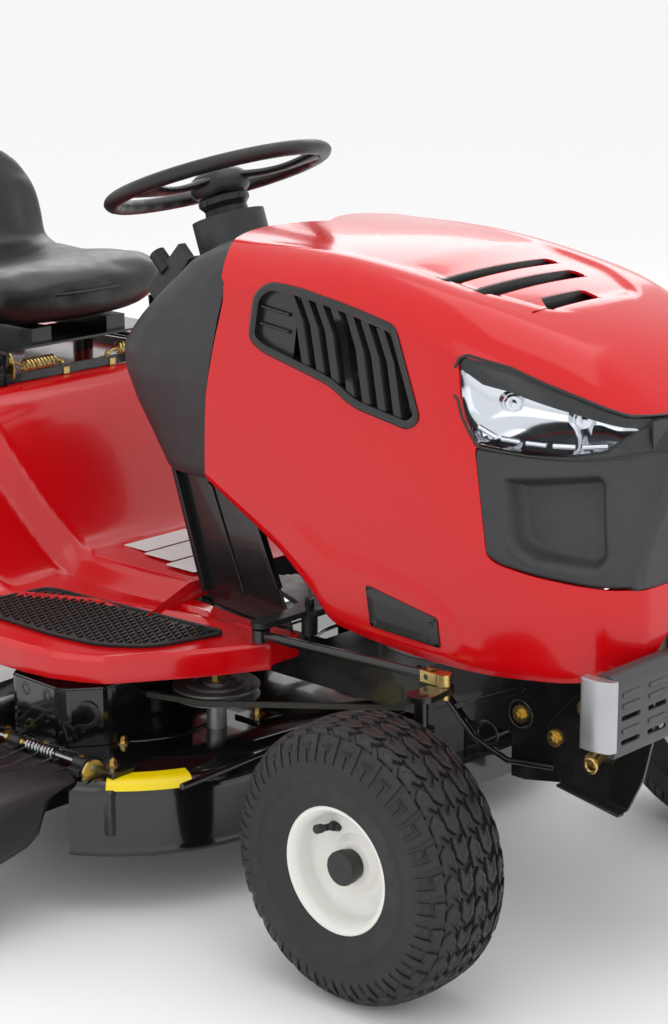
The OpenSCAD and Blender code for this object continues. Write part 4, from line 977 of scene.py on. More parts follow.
# ---------------------------------------------------------------------------
# Hood: one large moulding in glossy red plastic, 4 mm thick. Its flat top panel is set off
# by a crease, the flanks carry a louvred vent each, and the nose opens for lights and grille.
hood_red = finish("gloss_red_plastic", (0.60, 0.002, 0.005), 0.17, ripple=0.03, coat=0.25, shade=0.03)
hood_red.node_tree.nodes["Principled BSDF"].inputs["Specular IOR Level"].default_value = 0.35


crown_z = [(700, 937), (752, 936), (950, 930), (1150, 900), (1260, 868), (1350, 822), (1412, 762), (1440, 700)]
shoulder_y = [(700, 219), (752, 220), (950, 225), (1150, 223), (1260, 205), (1350, 169), (1412, 135),
    (1440, 100)]
skirt_y = [(700, 231), (752, 232), (950, 235), (1150, 235), (1260, 231), (1350, 219), (1412, 193), (1440, 150)]
low_z = [(700, 610), (721, 600), (752, 579), (850, 515), (932, 455), (967, 422), (1010, 413), (1054, 408),
    (1150, 402),
         (1241, 402), (1312, 408), (1368, 414), (1404, 424), (1440, 440)]
crease_y = [(700, 176), (800, 174), (900, 165), (1000, 160), (1100, 150), (1150, 145), (1200, 122), (1240, 96),
    (1262, 60), (1300, 40), (1440, 20)]
swoosh_z = [(700, 600), (860, 575), (913, 546), (970, 522), (1045, 514), (1117, 503), (1172, 483), (1240, 440),
    (1440, 400)]


def hood_point(x, v):
    """A point of the hood: v runs 0 at the crown, 1 at the crease, 2 at the shoulder, 3 at the lower edge."""
    zt, sw, kw, zl = (smooth_line(p, x) for p in (crown_z, shoulder_y, skirt_y, low_z))
    form_low = 370 if x < 1260 else 370 + (x - 1260) * 0.35

    def form(y):
        """Height of the outer form over the shoulder at a distance from the middle."""
        edge = sw + 4
        fall = 84
        inner = zt - 32 * (y / (sw - 40 if sw > 60 else 20) * 0.77) ** 2 * 0.55
        t = max(0, (y - (edge - 62)) / 62)
        return inner - fall * 0.78 * (1 - math.sqrt(max(0, 1 - min(1, t) ** 2)))

    yc = min(smooth_line(crease_y, x), sw - 36)
    if v <= 1:
        y = yc * v
        z = form(y)
        blend_in = step(1010, 1090, x) * (1 - step(1215, 1250, x))
        z -= 5.0 * (1 - step(0.86, 0.97, v)) * blend_in
        z -= 1.2 * (1 - step(0.93, 1.0, v)) * (1 - step(1230, 1262, x))
    elif v <= 2:
        a = math.sin((v - 1) * math.pi / 2)
        y = yc + (sw + 4 - yc) * a
        z = form(min(y, sw + 3.2))
    else:
        top = form(sw + 3.2)
        t = v - 2
        z = top + (zl - top) * t
        mid = form_low + 130
        if z > mid:
            q = (z - mid) / max(1, top - mid)
            y = kw + (sw + 4 - kw) * q ** 1.6
        else:
            y = kw - 6 * ((mid - z) / 130) ** 1.5
        line = smooth_line(swoosh_z, x)
        swell = step(860, 960, x) * (1 - step(1190, 1260, x))
        y += 4.0 * (1 - step(line - 7, line + 7, z)) * swell
        y -= 7.0 * step(0.955, 1.0, t) ** 2
    return y, z


def rear_edge(y, z):
    if z > 870:
        return smooth_line([(0, 753), (40, 730), (100, 713), (140, 719), (200, 743), (240, 757)], abs(y))
    return smooth_line([(560, 722), (606, 721), (699, 723), (773, 737), (847, 757), (870, 757)], z)


hood_v = ([k / 14 for k in range(14)] + [0.955, 1.0] + [1 + k / 12 for k in range(1, 13)]
          + [2 + k / 46 for k in range(1, 46)] + [2.985, 3.0])
hood_x = [752 + 6 * k for k in range(114)] + [1436, 1440]
bm = bmesh.new()
columns = []
for x in hood_x:
    half = []
    for v in hood_v:
        y, z = hood_point(x, v)
        pull = max(0, 1 - (x - 752) / 110)
        half.append((x + (rear_edge(y, z) - 752) * pull, y, z))
    columns.append([bm.verts.new((a, b, c)) for a, b, c in reversed(half)] +
                   [bm.verts.new((a, -b, c)) for a, b, c in half[1:]])
skin(bm, columns)
# Front of the nose, closed by rings that shrink to its middle
last = columns[-1]
base = [v.co.copy() for v in last]
heart = Vector((1440, 0, 560))
for share in (0.92, 0.8, 0.6, 0.4, 0.2):
    ring = []
    for p in base:
        q = heart + (p - heart) * share
        q.x = 1440 + 3.0 * (1 - share ** 2) ** 0.5
        q.z = max(q.z, p.z) if p.z < 445 else q.z
        ring.append(bm.verts.new(q))
    skin(bm, [last, ring])
    last = ring
outward(bm)


# The outlines are drawn as seen from the side: x forward, z up.
vent_outline = rounded([(812, 800), (822, 862), (846, 880), (900, 879), (1000, 865), (1082, 848), (1128, 731),
    (1110, 716),
                        (1010, 733), (968, 757), (836, 786)], [12, 16, 16, 30, 40, 14, 12, 14, 24, 24, 14])
light_outline = rounded([(1186, 823), (1260, 813), (1340, 781), (1392, 757), (1500, 745), (1500, 704),
    (1297, 704), (1222, 708), (1196, 752)],
                        [10, 30, 30, 14, 1, 1, 20, 12, 16])
grille_outline = rounded([(1218, 708), (1297, 706), (1300, 712), (1500, 716), (1500, 533), (1413, 546),
    (1310, 552), (1262, 558), (1244, 566)],
                         [8, 4, 4, 1, 1, 30, 20, 12, 12])
slots = [(1083, 1107, -150, 90), (1135, 1165, -145, 78), (1200, 1232, -127, 20)]


def hood_cutters():
    made = []
    for outline in (light_outline, grille_outline):
        b = bmesh.new()
        plate(b, outline, "y", -400, 400)
        made.append(cutter(b))
    for k in (-1, 1):
        b = bmesh.new()
        side_plate(b, vent_outline, k, 170, 300)
        made.append(cutter(b))
    for x0, x1, y0, y1 in slots:
        b = bmesh.new()
        outline = rounded([(x0, y0 * (0.55 if x0 > 1190 else 1)), (x1, y0 * (1 if x0 <= 1190 else 0.74)),
            (x1, y1), (x0 + 2, y1)],
                          [4, 4, 11, 11])
        plate(b, outline, "z", 800, 1000)
        made.append(cutter(b))
    return made


hood = new_piece(bm, "hood_shell", hood_red, "hood", ["hood"], smooth=60)
thicken(hood, 0.004)
cut(hood, *hood_cutters())
hood.data.set_sharp_from_angle(angle=math.radians(38))

# ---------------------------------------------------------------------------
# Hood fittings: black louvred vents let into the flanks. Each is a thick rounded frame
# round slanted chevron slats, with one blank panel at its rear.
trim_black = finish("satin_black_trim", (0.009, 0.009, 0.0095), 0.3, grain=0.15, coat=0.15)


flank_table = {}


def flank_column(i):
    """Heights and half widths of the hood's side at one place along it, from the crown down."""
    if i not in flank_table:
        flank_table[i] = [hood_point(i * 4, 0.9 + 2.1 * k / 90) for k in range(91)]
    return flank_table[i]


def on_flank(x, z, out=0.0):
    """The y of the hood's flank at a place seen from the side, on the right."""
    found = []
    for i in (int(x // 4), int(x // 4) + 1):
        rows = flank_column(i)
        low, high = 0, 90
        while high - low > 1:
            mid = (low + high) // 2
            if rows[mid][1] > z:
                low = mid
            else:
                high = mid
        (y0, z0), (y1, z1) = rows[low], rows[high]
        t = max(0, min(1, (z0 - z) / max(1e-6, z0 - z1)))
        found.append(y0 + (y1 - y0) * t)
    share = x / 4 - x // 4
    return -(found[0] * (1 - share) + found[1] * share + out)


def frame_band(bm, outline, grow_in, out, deep, flank, rings=None):
    """A raised band that follows an outline on a surface; flank gives the surface's y at (x, z)."""
    n = len(outline)
    middle = Vector((sum(p[0] for p in outline) / n, sum(p[1] for p in outline) / n))
    normals = []
    for i in range(n):
        d = (Vector(outline[(i + 1) % n]) - Vector(outline[i - 1])).normalized()
        nn = Vector((-d.y, d.x))
        if nn.dot(middle - Vector(outline[i])) < 0 and abs(nn.dot(middle - Vector(outline[i]))) > 4:
            nn = -nn
        normals.append(nn)
    for i in range(1, n):
        if normals[i].dot(normals[i - 1]) < -0.2:
            normals[i] = -normals[i]
    profile = rings or [(-2.5, -1.0), (-2.0, out * 0.6), (0.5, out), (grow_in * 0.55, out),
        (grow_in, out * 0.3), (grow_in, -deep), (-1, -deep)]
    loops = []
    for offset, height in profile:
        loop = []
        for i in range(n):
            p = Vector(outline[i]) + normals[i] * offset
            base_y = flank(p.x, p.y)
            loop.append(bm.verts.new((p.x, base_y - height, p.y)))
        loops.append(loop)
    bmesh.ops.recalc_face_normals(bm, faces=wrap(bm, loops + loops[:1]))


def flank_y(x, z):
    return on_flank(max(760, min(1430, x)), z)


bm = bmesh.new()
frame_band(bm, vent_outline, 9, 3.4, 14, flank_y)


def vent_top(x):
    return along([(800, 862), (846, 872), (900, 872), (1000, 858), (1090, 838), (1140, 700)], x)


def vent_bottom(x):
    return along([(800, 800), (836, 793), (968, 763), (1010, 741), (1112, 722), (1140, 730)], x)


# Slats: each rises from the lower edge, then bends back as it meets the upper edge.
for i in range(7):
    x0 = 908 + i * 28
    foot = (x0 + 16, vent_bottom(x0 + 16) + 2)
    knee = (x0 + 2, (vent_top(x0) + vent_bottom(x0)) / 2 + 14)
    head = (x0 - 18, vent_top(x0 - 18) - 2)
    for (a, b) in ((foot, knee), (knee, head)):
        start, end = [], []
        for px, pz in (a, b):
            py = flank_y(px, pz)
            start.append([bm.verts.new((px - 9, py + 1.0, pz)), bm.verts.new((px + 3, py + 2.0, pz)),
                          bm.verts.new((px + 9, py + 14, pz)), bm.verts.new((px - 3, py + 14, pz))])
        one, two = start
        made = [bm.faces.new((one[k], one[(k + 1) % 4], two[(k + 1) % 4], two[k])) for k in range(4)]
        made += [bm.faces.new(one), bm.faces.new(two)]
        bmesh.ops.recalc_face_normals(bm, faces=made)
# Blank panel with a long rib
grid = []
for i in range(9):
    px = 822 + i * 9
    col = []
    for j in range(6):
        pz = vent_bottom(px) + (vent_top(px) - vent_bottom(px)) * j / 5
        col.append(bm.verts.new((px + (pz - 800) * 0.12, flank_y(px, pz) + 7, pz)))
    grid.append(col)
skin(bm, grid)
for z_line in (822, 846):
    tube(bm, [(830 + 8 * i, flank_y(830 + 8 * i, z_line) + 5, z_line - i * 0.8) for i in range(8)], 2.6, 8)
# Dark sheet behind the slats: painted shade, a flat black stand-in for the shaded inside of the hood
back = []
for i in range(17):
    px = 816 + i * 19
    back.append([bm.verts.new((px, flank_y(px, vent_bottom(px)) + 22, vent_bottom(px) - 4)),
                 bm.verts.new((px, flank_y(px, vent_top(px)) + 22, vent_top(px) + 6))])
for one, two in zip(back, back[1:]):
    bm.faces.new((one[0], one[1], two[1], two[0]))
mirrored(bm)
new_piece(bm, "side_vents", trim_black, "hood", ["hood_trim"], smooth=35)

# Top slots: black moulded liners let into the hood's top panel.
bm = bmesh.new()


def top_height(x, y):
    yc = smooth_line(crease_y, x)
    return hood_point(x, min(1.0, abs(y) / yc))[1] if abs(y) < yc else hood_point(x, 1.05)[1]


for x0, x1, y0, y1 in slots:
    n = 24
    for xa, lean in ((x0, 1), (x1, -1)):
        strip = []
        for i in range(n + 1):
            y = y0 + (y1 - y0) * i / n
            z = top_height(xa, y)
            strip.append([bm.verts.new((xa - 1.2 * lean, y, z + 0.4)),
                bm.verts.new((xa + 2.5 * lean, y, z - 1.0)),
                          bm.verts.new((xa + 5 * lean, y, z - 16))])
        skin(bm, strip)
    floor_strip = []
    for i in range(n + 1):
        y = y0 - 6 + (y1 - y0 + 12) * i / n
        z = top_height((x0 + x1) / 2, y) - 17
        floor_strip.append([bm.verts.new((x0 - 4, y, z)), bm.verts.new((x1 + 4, y, z))])
    for one, two in zip(floor_strip, floor_strip[1:]):
        bm.faces.new((one[0], one[1], two[1], two[0]))
outward(bm)
new_piece(bm, "top_slot_liners", trim_black, "hood", smooth=35)


# ---------------------------------------------------------------------------
# Grille surround: charcoal moulding with a pebble grain across the whole nose. It wraps
# round both corners, where a deep rounded pocket is pressed into it.
def nose_y(x, z):
    """Half width of the nose at a place seen from the side."""
    return -flank_y(min(x, 1432), z)


nose_paths = {}


def nose_point(s, z, inset=0.0):
    """A point on the nose; s runs from the middle of the front (0) round to the flank (1)."""
    key = (round(z / 2), round(inset * 2))
    if key not in nose_paths:
        path = [Vector((1436 - i * 216 / 26, nose_y(1436 - i * 216 / 26, z) - inset)) for i in range(27)]
        front = 1441.5 - inset
        path = [Vector((front, 0)), Vector((front, path[0].y * 0.5)),
            Vector((front - 1, path[0].y * 0.9))] + path
        lengths = [0]
        for a, b in zip(path, path[1:]):
            lengths.append(lengths[-1] + (b - a).length)
        nose_paths[key] = path, lengths
    path, lengths = nose_paths[key]
    want = s * lengths[-1]
    for i in range(len(path) - 1):
        if want <= lengths[i + 1] + 1e-6:
            return path[i].lerp(path[i + 1], (want - lengths[i]) / max(1e-6, lengths[i + 1] - lengths[i]))
    return path[-1]


pocket = rounded([(1262, 672), (1382, 688), (1392, 680), (1414, 582), (1400, 566), (1310, 570), (1284, 582),
    (1276, 600)], [8, 8, 8, 10, 12, 16, 12, 10], 4)


def outline_distance(outline, x, z):
    """How far a point lies from an outline's nearest side."""
    best = 1e9
    p = Vector((x, z))
    for a, b in zip(outline, outline[1:] + outline[:1]):
        a, b = Vector(a), Vector(b)
        d = b - a
        t = max(0, min(1, (p - a).dot(d) / max(1e-9, d.length_squared)))
        best = min(best, (a + d * t - p).length)
    return best


grille_low = [(1244, 566), (1262, 558), (1310, 553), (1365, 550), (1413, 547), (1441, 533)]
grille_high = [(1218, 706), (1297, 706), (1340, 708), (1400, 716), (1441, 760)]
bm = bmesh.new()
columns = []
for i in range(-110, 111):
    s = abs(i) / 110
    col = []
    for j in range(47):
        q = j / 46
        probe = nose_point(s, 640)
        low, high = along(grille_low, probe.x), along(grille_high, probe.x)
        if probe.x > 1438:
            edge = probe.y
            high = 716 + 46 * (1 - step(92, 140, edge))
        z = low + (high - low) * q
        p = nose_point(s, z)
        inset = 1.0
        if inside(pocket, p.x, z):
            reach = outline_distance(pocket, p.x, z)
            inset = 1.0 + 26 * step(0, 15, reach)
        else:
            near = outline_distance(pocket, p.x, z)
            inset = 1.0 - 1.6 * (1 - step(3, 10, near)) * (p.x > 1250)
        border = min(q, 1 - q) * (high - low)
        inset += 2.0 * (1 - step(0, 5, border))
        p = nose_point(s, z, inset)
        col.append(bm.verts.new((p.x, -p.y if i < 0 else p.y, z)))
    columns.append(col)
skin(bm, columns)
outward(bm)
grille = new_piece(bm, "grille_surround", charcoal_grain, "hood", smooth=60)
thicken(grille, 0.003)
slots_cut = bmesh.new()
for row in range(7):
    z = 566 + row * 26
    for k in (-1, 1):
        half_gap = 96 - abs(row - 3) * 4
        plate(slots_cut, rounded([(k * 8, z), (k * half_gap, z + 5), (k * half_gap, z + 15), (k * 8, z + 11)],
            4, 3), "x", 1400, 1480)
cut(grille, cutter(slots_cut))
# A flat black sheet behind the grille slots: painted shade standing in for the shaded inside of the nose.
bm = bmesh.new()
block(bm, (1416, -112, 556), (1419, 112, 752))
new_piece(bm, "grille_backing", trim_black, "hood", smooth=30)

# ---------------------------------------------------------------------------
# Headlights: clear moulded covers over chrome bowls. A bulb in a ribbed socket stands at
# the inner end, the upper band is masked dark and the lower band is left bright.
lens_made, lens_tree, lens_shader, lens_coords = nodes_of("clear_moulded_lens")
lens_shader.inputs["Base Color"].default_value = (0.96, 0.98, 1.0, 1)
lens_shader.inputs["Transmission Weight"].default_value = 1.0
lens_shader.inputs["IOR"].default_value = 1.15
lens_tree.links.new(ramp(lens_tree, noise(lens_tree, lens_coords, 30, 1.0), 0.0, 0.03),
    lens_shader.inputs["Roughness"])
chrome = finish("vacuum_chrome", (0.72, 0.73, 0.76), 0.1, ripple=0.02, metallic=1.0, shade=0.02)


def light_top(x):
    return along([(1180, 800), (1190, 820), (1200, 823), (1260, 812), (1340, 780), (1392, 757), (1432, 750)], x)


def light_bottom(x):
    return along([(1180, 775), (1190, 768), (1197, 745), (1222, 710), (1297, 706), (1355, 706), (1400, 710),
        (1432, 716)], x)


def light_sheet(bm, inset, share_low, share_high, nx=56, nz=18, dish=0.0):
    for k in (-1, 1):
        rows = []
        for i in range(nx + 1):
            x = 1187 + (1430 - 1187) * i / nx
            row = []
            for j in range(nz + 1):
                q = share_low + (share_high - share_low) * j / nz
                z = light_bottom(x) + (light_top(x) - light_bottom(x)) * q
                bowl = dish * math.sin(math.pi * min(1,
                    max(0, (x - 1187) / 243))) ** 0.6 * math.sin(math.pi * q) ** 0.6
                y = nose_y(x, z) - inset - bowl
                row.append(bm.verts.new((x - bowl * 0.35, k * y, z)))
            rows.append(row)
        for one, two in zip(rows, rows[1:]):
            for j in range(nz):
                corners = (one[j], one[j + 1], two[j + 1], two[j])
                bm.faces.new(corners if k > 0 else (one[j], two[j], two[j + 1], one[j + 1]))


bm = bmesh.new()
light_sheet(bm, 1.2, 0.03, 0.97)
outward(bm)
lens = new_piece(bm, "headlight_covers", lens_made, "hood", ["headlight_lenses"], smooth=60)
lens.modifiers.new("thickness", "SOLIDIFY").thickness = 0.0015
bm = bmesh.new()
light_sheet(bm, 8, 0.0, 1.0, dish=40)
new_piece(bm, "headlight_bowls", chrome, "hood", ["headlight_reflectors"], smooth=60)
bm = bmesh.new()
light_sheet(bm, 5, 0.72, 0.99, nz=6)
outward(bm)
new_piece(bm, "headlight_masks", trim_black, "hood", smooth=60)
bm = bmesh.new()
for k in (-1, 1):
    for i, x in enumerate((1240, 1330)):
        z = 762 - i * 14
        mid = Vector((x, k * (nose_y(x, z) - 42), z))
        aim = Vector((0.75, k * 0.66, -0.05)).normalized()
        rod(bm, mid - aim * 10, mid + aim * 2, 34, 32, 26)
        rod(bm, mid + aim * 2, mid + aim * 8, 24, 24, 20)
        rod(bm, mid + aim * 8, mid + aim * 20, 11, 16, 8)
    for i in range(5):
        x = 1215 + i * 34
        z = light_bottom(x) + 12
        rod(bm, (x, k * (nose_y(x, z) - 12), z), (x + 26, k * (nose_y(x + 26, z) - 12),
            light_bottom(x + 26) + 12), 7, 12)
new_piece(bm, "headlight_bulbs", chrome, "hood", smooth=40)
bm = bmesh.new()
band = [(1183 + (1430 - 1183) * i / 40) for i in range(41)]
for k in (-1, 1):
    for edge, off in ((light_top, 1.5), (light_bottom, -1.5)):
        pts = [(x, k * (nose_y(x, edge(x)) - 0.4), edge(x) + off) for x in band]
        tube(bm, pts, 2.2, 8)
new_piece(bm, "headlight_gaskets", trim_black, "hood", smooth=40)

# Blank black badge plate on the flank.
bm = bmesh.new()
badge = rounded([(1041, 490), (1168, 468), (1173, 427), (1048, 432)], [5, 5, 5, 5], 4)
frame_band(bm, badge, 10, 1.6, -0.2, flank_y, rings=[(0, -0.5), (0, 1.4), (1.4, 1.9), (14, 1.9), (16, -0.5)])
rows = []
for i in range(13):
    t = i / 12
    low, high = Vector((1048, 432)).lerp(Vector((1173, 427)), t), Vector((1041, 490)).lerp(Vector((1168, 468)),
        t)
    rows.append([bm.verts.new((low.lerp(high, 0.08 + 0.84 * j / 8).x,
        flank_y(*low.lerp(high, 0.08 + 0.84 * j / 8)) - 1.7,
                               low.lerp(high, 0.08 + 0.84 * j / 8).y)) for j in range(9)])
skin(bm, rows)
mirrored(bm)
new_piece(bm, "blank_badges", trim_black, "hood", smooth=35)

# ---------------------------------------------------------------------------
# Turf tyres: moulded rubber with rounded shoulders and smooth walls. Rows of interlocking
# zigzag blocks stand on the carcass; a node group lays one sector out round the wheel.
tyre_rubber = finish("tyre_rubber", (0.011, 0.011, 0.0115), 0.52, grain=0.2, grain_size=3.0, shade=0.2)
tread_ring = bpy.data.node_groups.new("tread_ring", "GeometryNodeTree")
tread_ring.interface.new_socket("Geometry", in_out="OUTPUT", socket_type="NodeSocketGeometry")
tread_inputs = {}
for socket_name, kind in (("Sector", "NodeSocketObject"), ("Count", "NodeSocketInt"),
        ("Rubber", "NodeSocketMaterial")):
    made_socket = tread_ring.interface.new_socket(socket_name, in_out="INPUT", socket_type=kind)
    tread_inputs[socket_name] = made_socket.identifier
ring_in, ring_out = tread_ring.nodes.new("NodeGroupInput"), tread_ring.nodes.new("NodeGroupOutput")
ring_points = tread_ring.nodes.new("GeometryNodePoints")
ring_sector = tread_ring.nodes.new("GeometryNodeObjectInfo")
ring_spread = tread_ring.nodes.new("GeometryNodeInstanceOnPoints")
ring_index = tread_ring.nodes.new("GeometryNodeInputIndex")
ring_share = tread_ring.nodes.new("ShaderNodeMath")
ring_share.operation = "DIVIDE"
ring_turn = tread_ring.nodes.new("ShaderNodeMath")
ring_turn.operation = "MULTIPLY"
ring_turn.inputs[1].default_value = 2 * math.pi
ring_angles = tread_ring.nodes.new("ShaderNodeCombineXYZ")
ring_real = tread_ring.nodes.new("GeometryNodeRealizeInstances")
ring_coat = tread_ring.nodes.new("GeometryNodeSetMaterial")
for a, b in (
    (ring_in.outputs["Count"], ring_points.inputs["Count"]),
    (ring_in.outputs["Sector"], ring_sector.inputs["Object"]),
    (ring_in.outputs["Rubber"], ring_coat.inputs["Material"]),
    (ring_index.outputs[0], ring_share.inputs[0]),
    (ring_in.outputs["Count"], ring_share.inputs[1]),
    (ring_share.outputs[0], ring_turn.inputs[0]),
    (ring_turn.outputs[0], ring_angles.inputs["Y"]),
    (ring_points.outputs[0], ring_spread.inputs["Points"]),
    (ring_sector.outputs["Geometry"], ring_spread.inputs["Instance"]),
    (ring_angles.outputs[0], ring_spread.inputs["Rotation"]),
    (ring_spread.outputs[0], ring_real.inputs[0]),
    (ring_real.outputs[0], ring_coat.inputs["Geometry"]),
    (ring_coat.outputs[0], ring_out.inputs[0]),
):
    tread_ring.links.new(a, b)


def laid_out(sample, group, values):
    """Runs a node group on a sample shape (in millimetres) and returns the result as a bmesh."""
    holder = bpy.data.objects.new("holder", bpy.data.meshes.new("holder"))
    source = bpy.data.objects.new("sample", sample)
    for o in (holder, source):
        bpy.context.scene.collection.objects.link(o)
    m = holder.modifiers.new("layout", "NODES")
    m.node_group = group
    for key, value in values.items():
        m[key] = source if value == "sample" else value
    bpy.context.view_layer.update()
    done = bpy.data.meshes.new_from_object(holder.evaluated_get(bpy.context.evaluated_depsgraph_get()))
    bm = bmesh.new()
    bm.from_mesh(done)
    for o in (holder, source):
        bpy.data.objects.remove(o)
    bpy.data.meshes.remove(done)
    return bm


def chevron(middle, start, half, lean=0.3, depth=0.36):
    """One bent block: (share of a sector, share of the half width) for each corner."""
    y0, y1 = middle - half, middle + half
    return [(start, y0), (start + lean, middle), (start, y1), (start + depth * 2, y1),
            (start + depth * 2 + lean, middle), (start + depth * 2, y0)]


tread_blocks = [chevron(0, 0, 0.13), chevron(0.31, 0.5, 0.135, -0.3), chevron(-0.31, 0.5, 0.135, -0.3),
                chevron(0.60, 0.05, 0.115), chevron(-0.60, 0.05, 0.115)]
for k in (-1, 1):
    tread_blocks.append([(0.45, k * 0.74), (0.30, k * 0.92), (0.30, k * 0.985), (0.62, k * 0.985),
        (0.66, k * 0.86),
                         (1.16, k * 0.86), (1.2, k * 0.74)])
    tread_blocks.append([(0.82, k * 0.90), (0.78, k * 0.985), (1.14, k * 0.985), (1.16, k * 0.90)])

# Radius, width and bead radius of each tyre
tyre_sizes = {"front": (190.5, 152, 78), "rear": (254, 203, 103)}
for which, sectors, tread_h in (("front", 30, 5.5), ("rear", 34, 7.5)):
    r, w, bead = tyre_sizes[which]
    for side_name in ("left", "right"):
        node = f"{which}_tyre_{side_name}"
        body = f"{which}_wheel_{side_name}"
        lo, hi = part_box(node)
        hub = (((lo.x + hi.x) / 2 - rear_axle_x) * 1000, ((lo.y + hi.y) / 2 - middle_y) * 1000, r)
        crown, soft = w / 2, w * 0.29

        def carcass_r(y):
            y = abs(y)
            flat = crown - soft
            if y <= flat:
                return r - tread_h - 2.0 * (y / flat) ** 2
            t = min(1, (y - flat) / soft)
            return r - tread_h - 2.0 - soft * 1.1 * (1 - math.sqrt(max(0, 1 - t * t)))

        half = [(carcass_r(crown * math.sin(k / 14 * math.pi / 2) * 0.998),
            crown * math.sin(k / 14 * math.pi / 2) * 0.998)
                for k in range(15)]
        low_r = half[-1][0]
        wall = [(low_r - (low_r - bead - 10) * q, crown * s) for q, s in
                ((0.1, 1.0), (0.28, 0.998), (0.30, 1.008), (0.34, 1.008), (0.36, 0.993), (0.5, 0.975),
                (0.7, 0.935), (0.86, 0.89))]
        wall += [(bead + 12, crown * 0.87), (bead + 8.5, crown * 0.865), (bead + 8, crown * 0.84),
            (bead + 4, crown * 0.83),
                 (bead + 0.4, crown * 0.79), (bead + 0.4, crown * 0.62), (bead + 14, crown * 0.64)]
        outer = half + wall
        profile = [(a, -b) for a, b in reversed(outer[1:])] + outer
        deep = r - tread_h - 12
        profile += [(deep - 14, crown * 0.7), (deep, crown * 0.4), (deep, -crown * 0.4),
            (deep - 14, -crown * 0.7)]
        bm = bmesh.new()
        turned(bm, profile, hub, (0, 1, 0), 96)
        new_piece(bm, f"{which}_tyre_carcass_{side_name}", tyre_rubber, body, [node], smooth=40)

        bm = bmesh.new()
        for outline in tread_blocks:
            n = len(outline)
            mid_a, mid_y = sum(p[0] for p in outline) / n, sum(p[1] for p in outline) / n
            rings = []
            for grow, h in ((1.0, -3), (0.96, tread_h - 1.4), (0.86, tread_h), (0.56, tread_h),
                    (0.48, tread_h - 1.3)):
                ring = []
                for a, y in outline:
                    angle = (mid_a + (a - mid_a) * grow) * 2 * math.pi / sectors
                    yy = (mid_y + (y - mid_y) * grow) * crown
                    lift = h if abs(yy) < crown * 0.9 else h * 0.7
                    rr = carcass_r(yy) + lift
                    ring.append(bm.verts.new((rr * math.cos(angle),
                        yy + (0.5 if yy > 0 else -0.5) * (abs(yy) > crown * 0.9) * lift * 0.4,
                                              rr * math.sin(angle))))
                rings.append(ring)
            wrap(bm, rings)
            bm.faces.new(rings[-1])
        outward(bm)
        sector = bpy.data.meshes.new("tread_sector")
        bm.to_mesh(sector)
        bm.free()
        bm = laid_out(sector, tread_ring, {tread_inputs["Sector"]: "sample", tread_inputs["Count"]: sectors,
                                           tread_inputs["Rubber"]: tyre_rubber})
        bmesh.ops.translate(bm, vec=hub, verts=bm.verts)
        new_piece(bm, f"{which}_tyre_tread_{side_name}", tyre_rubber, body, smooth=35)

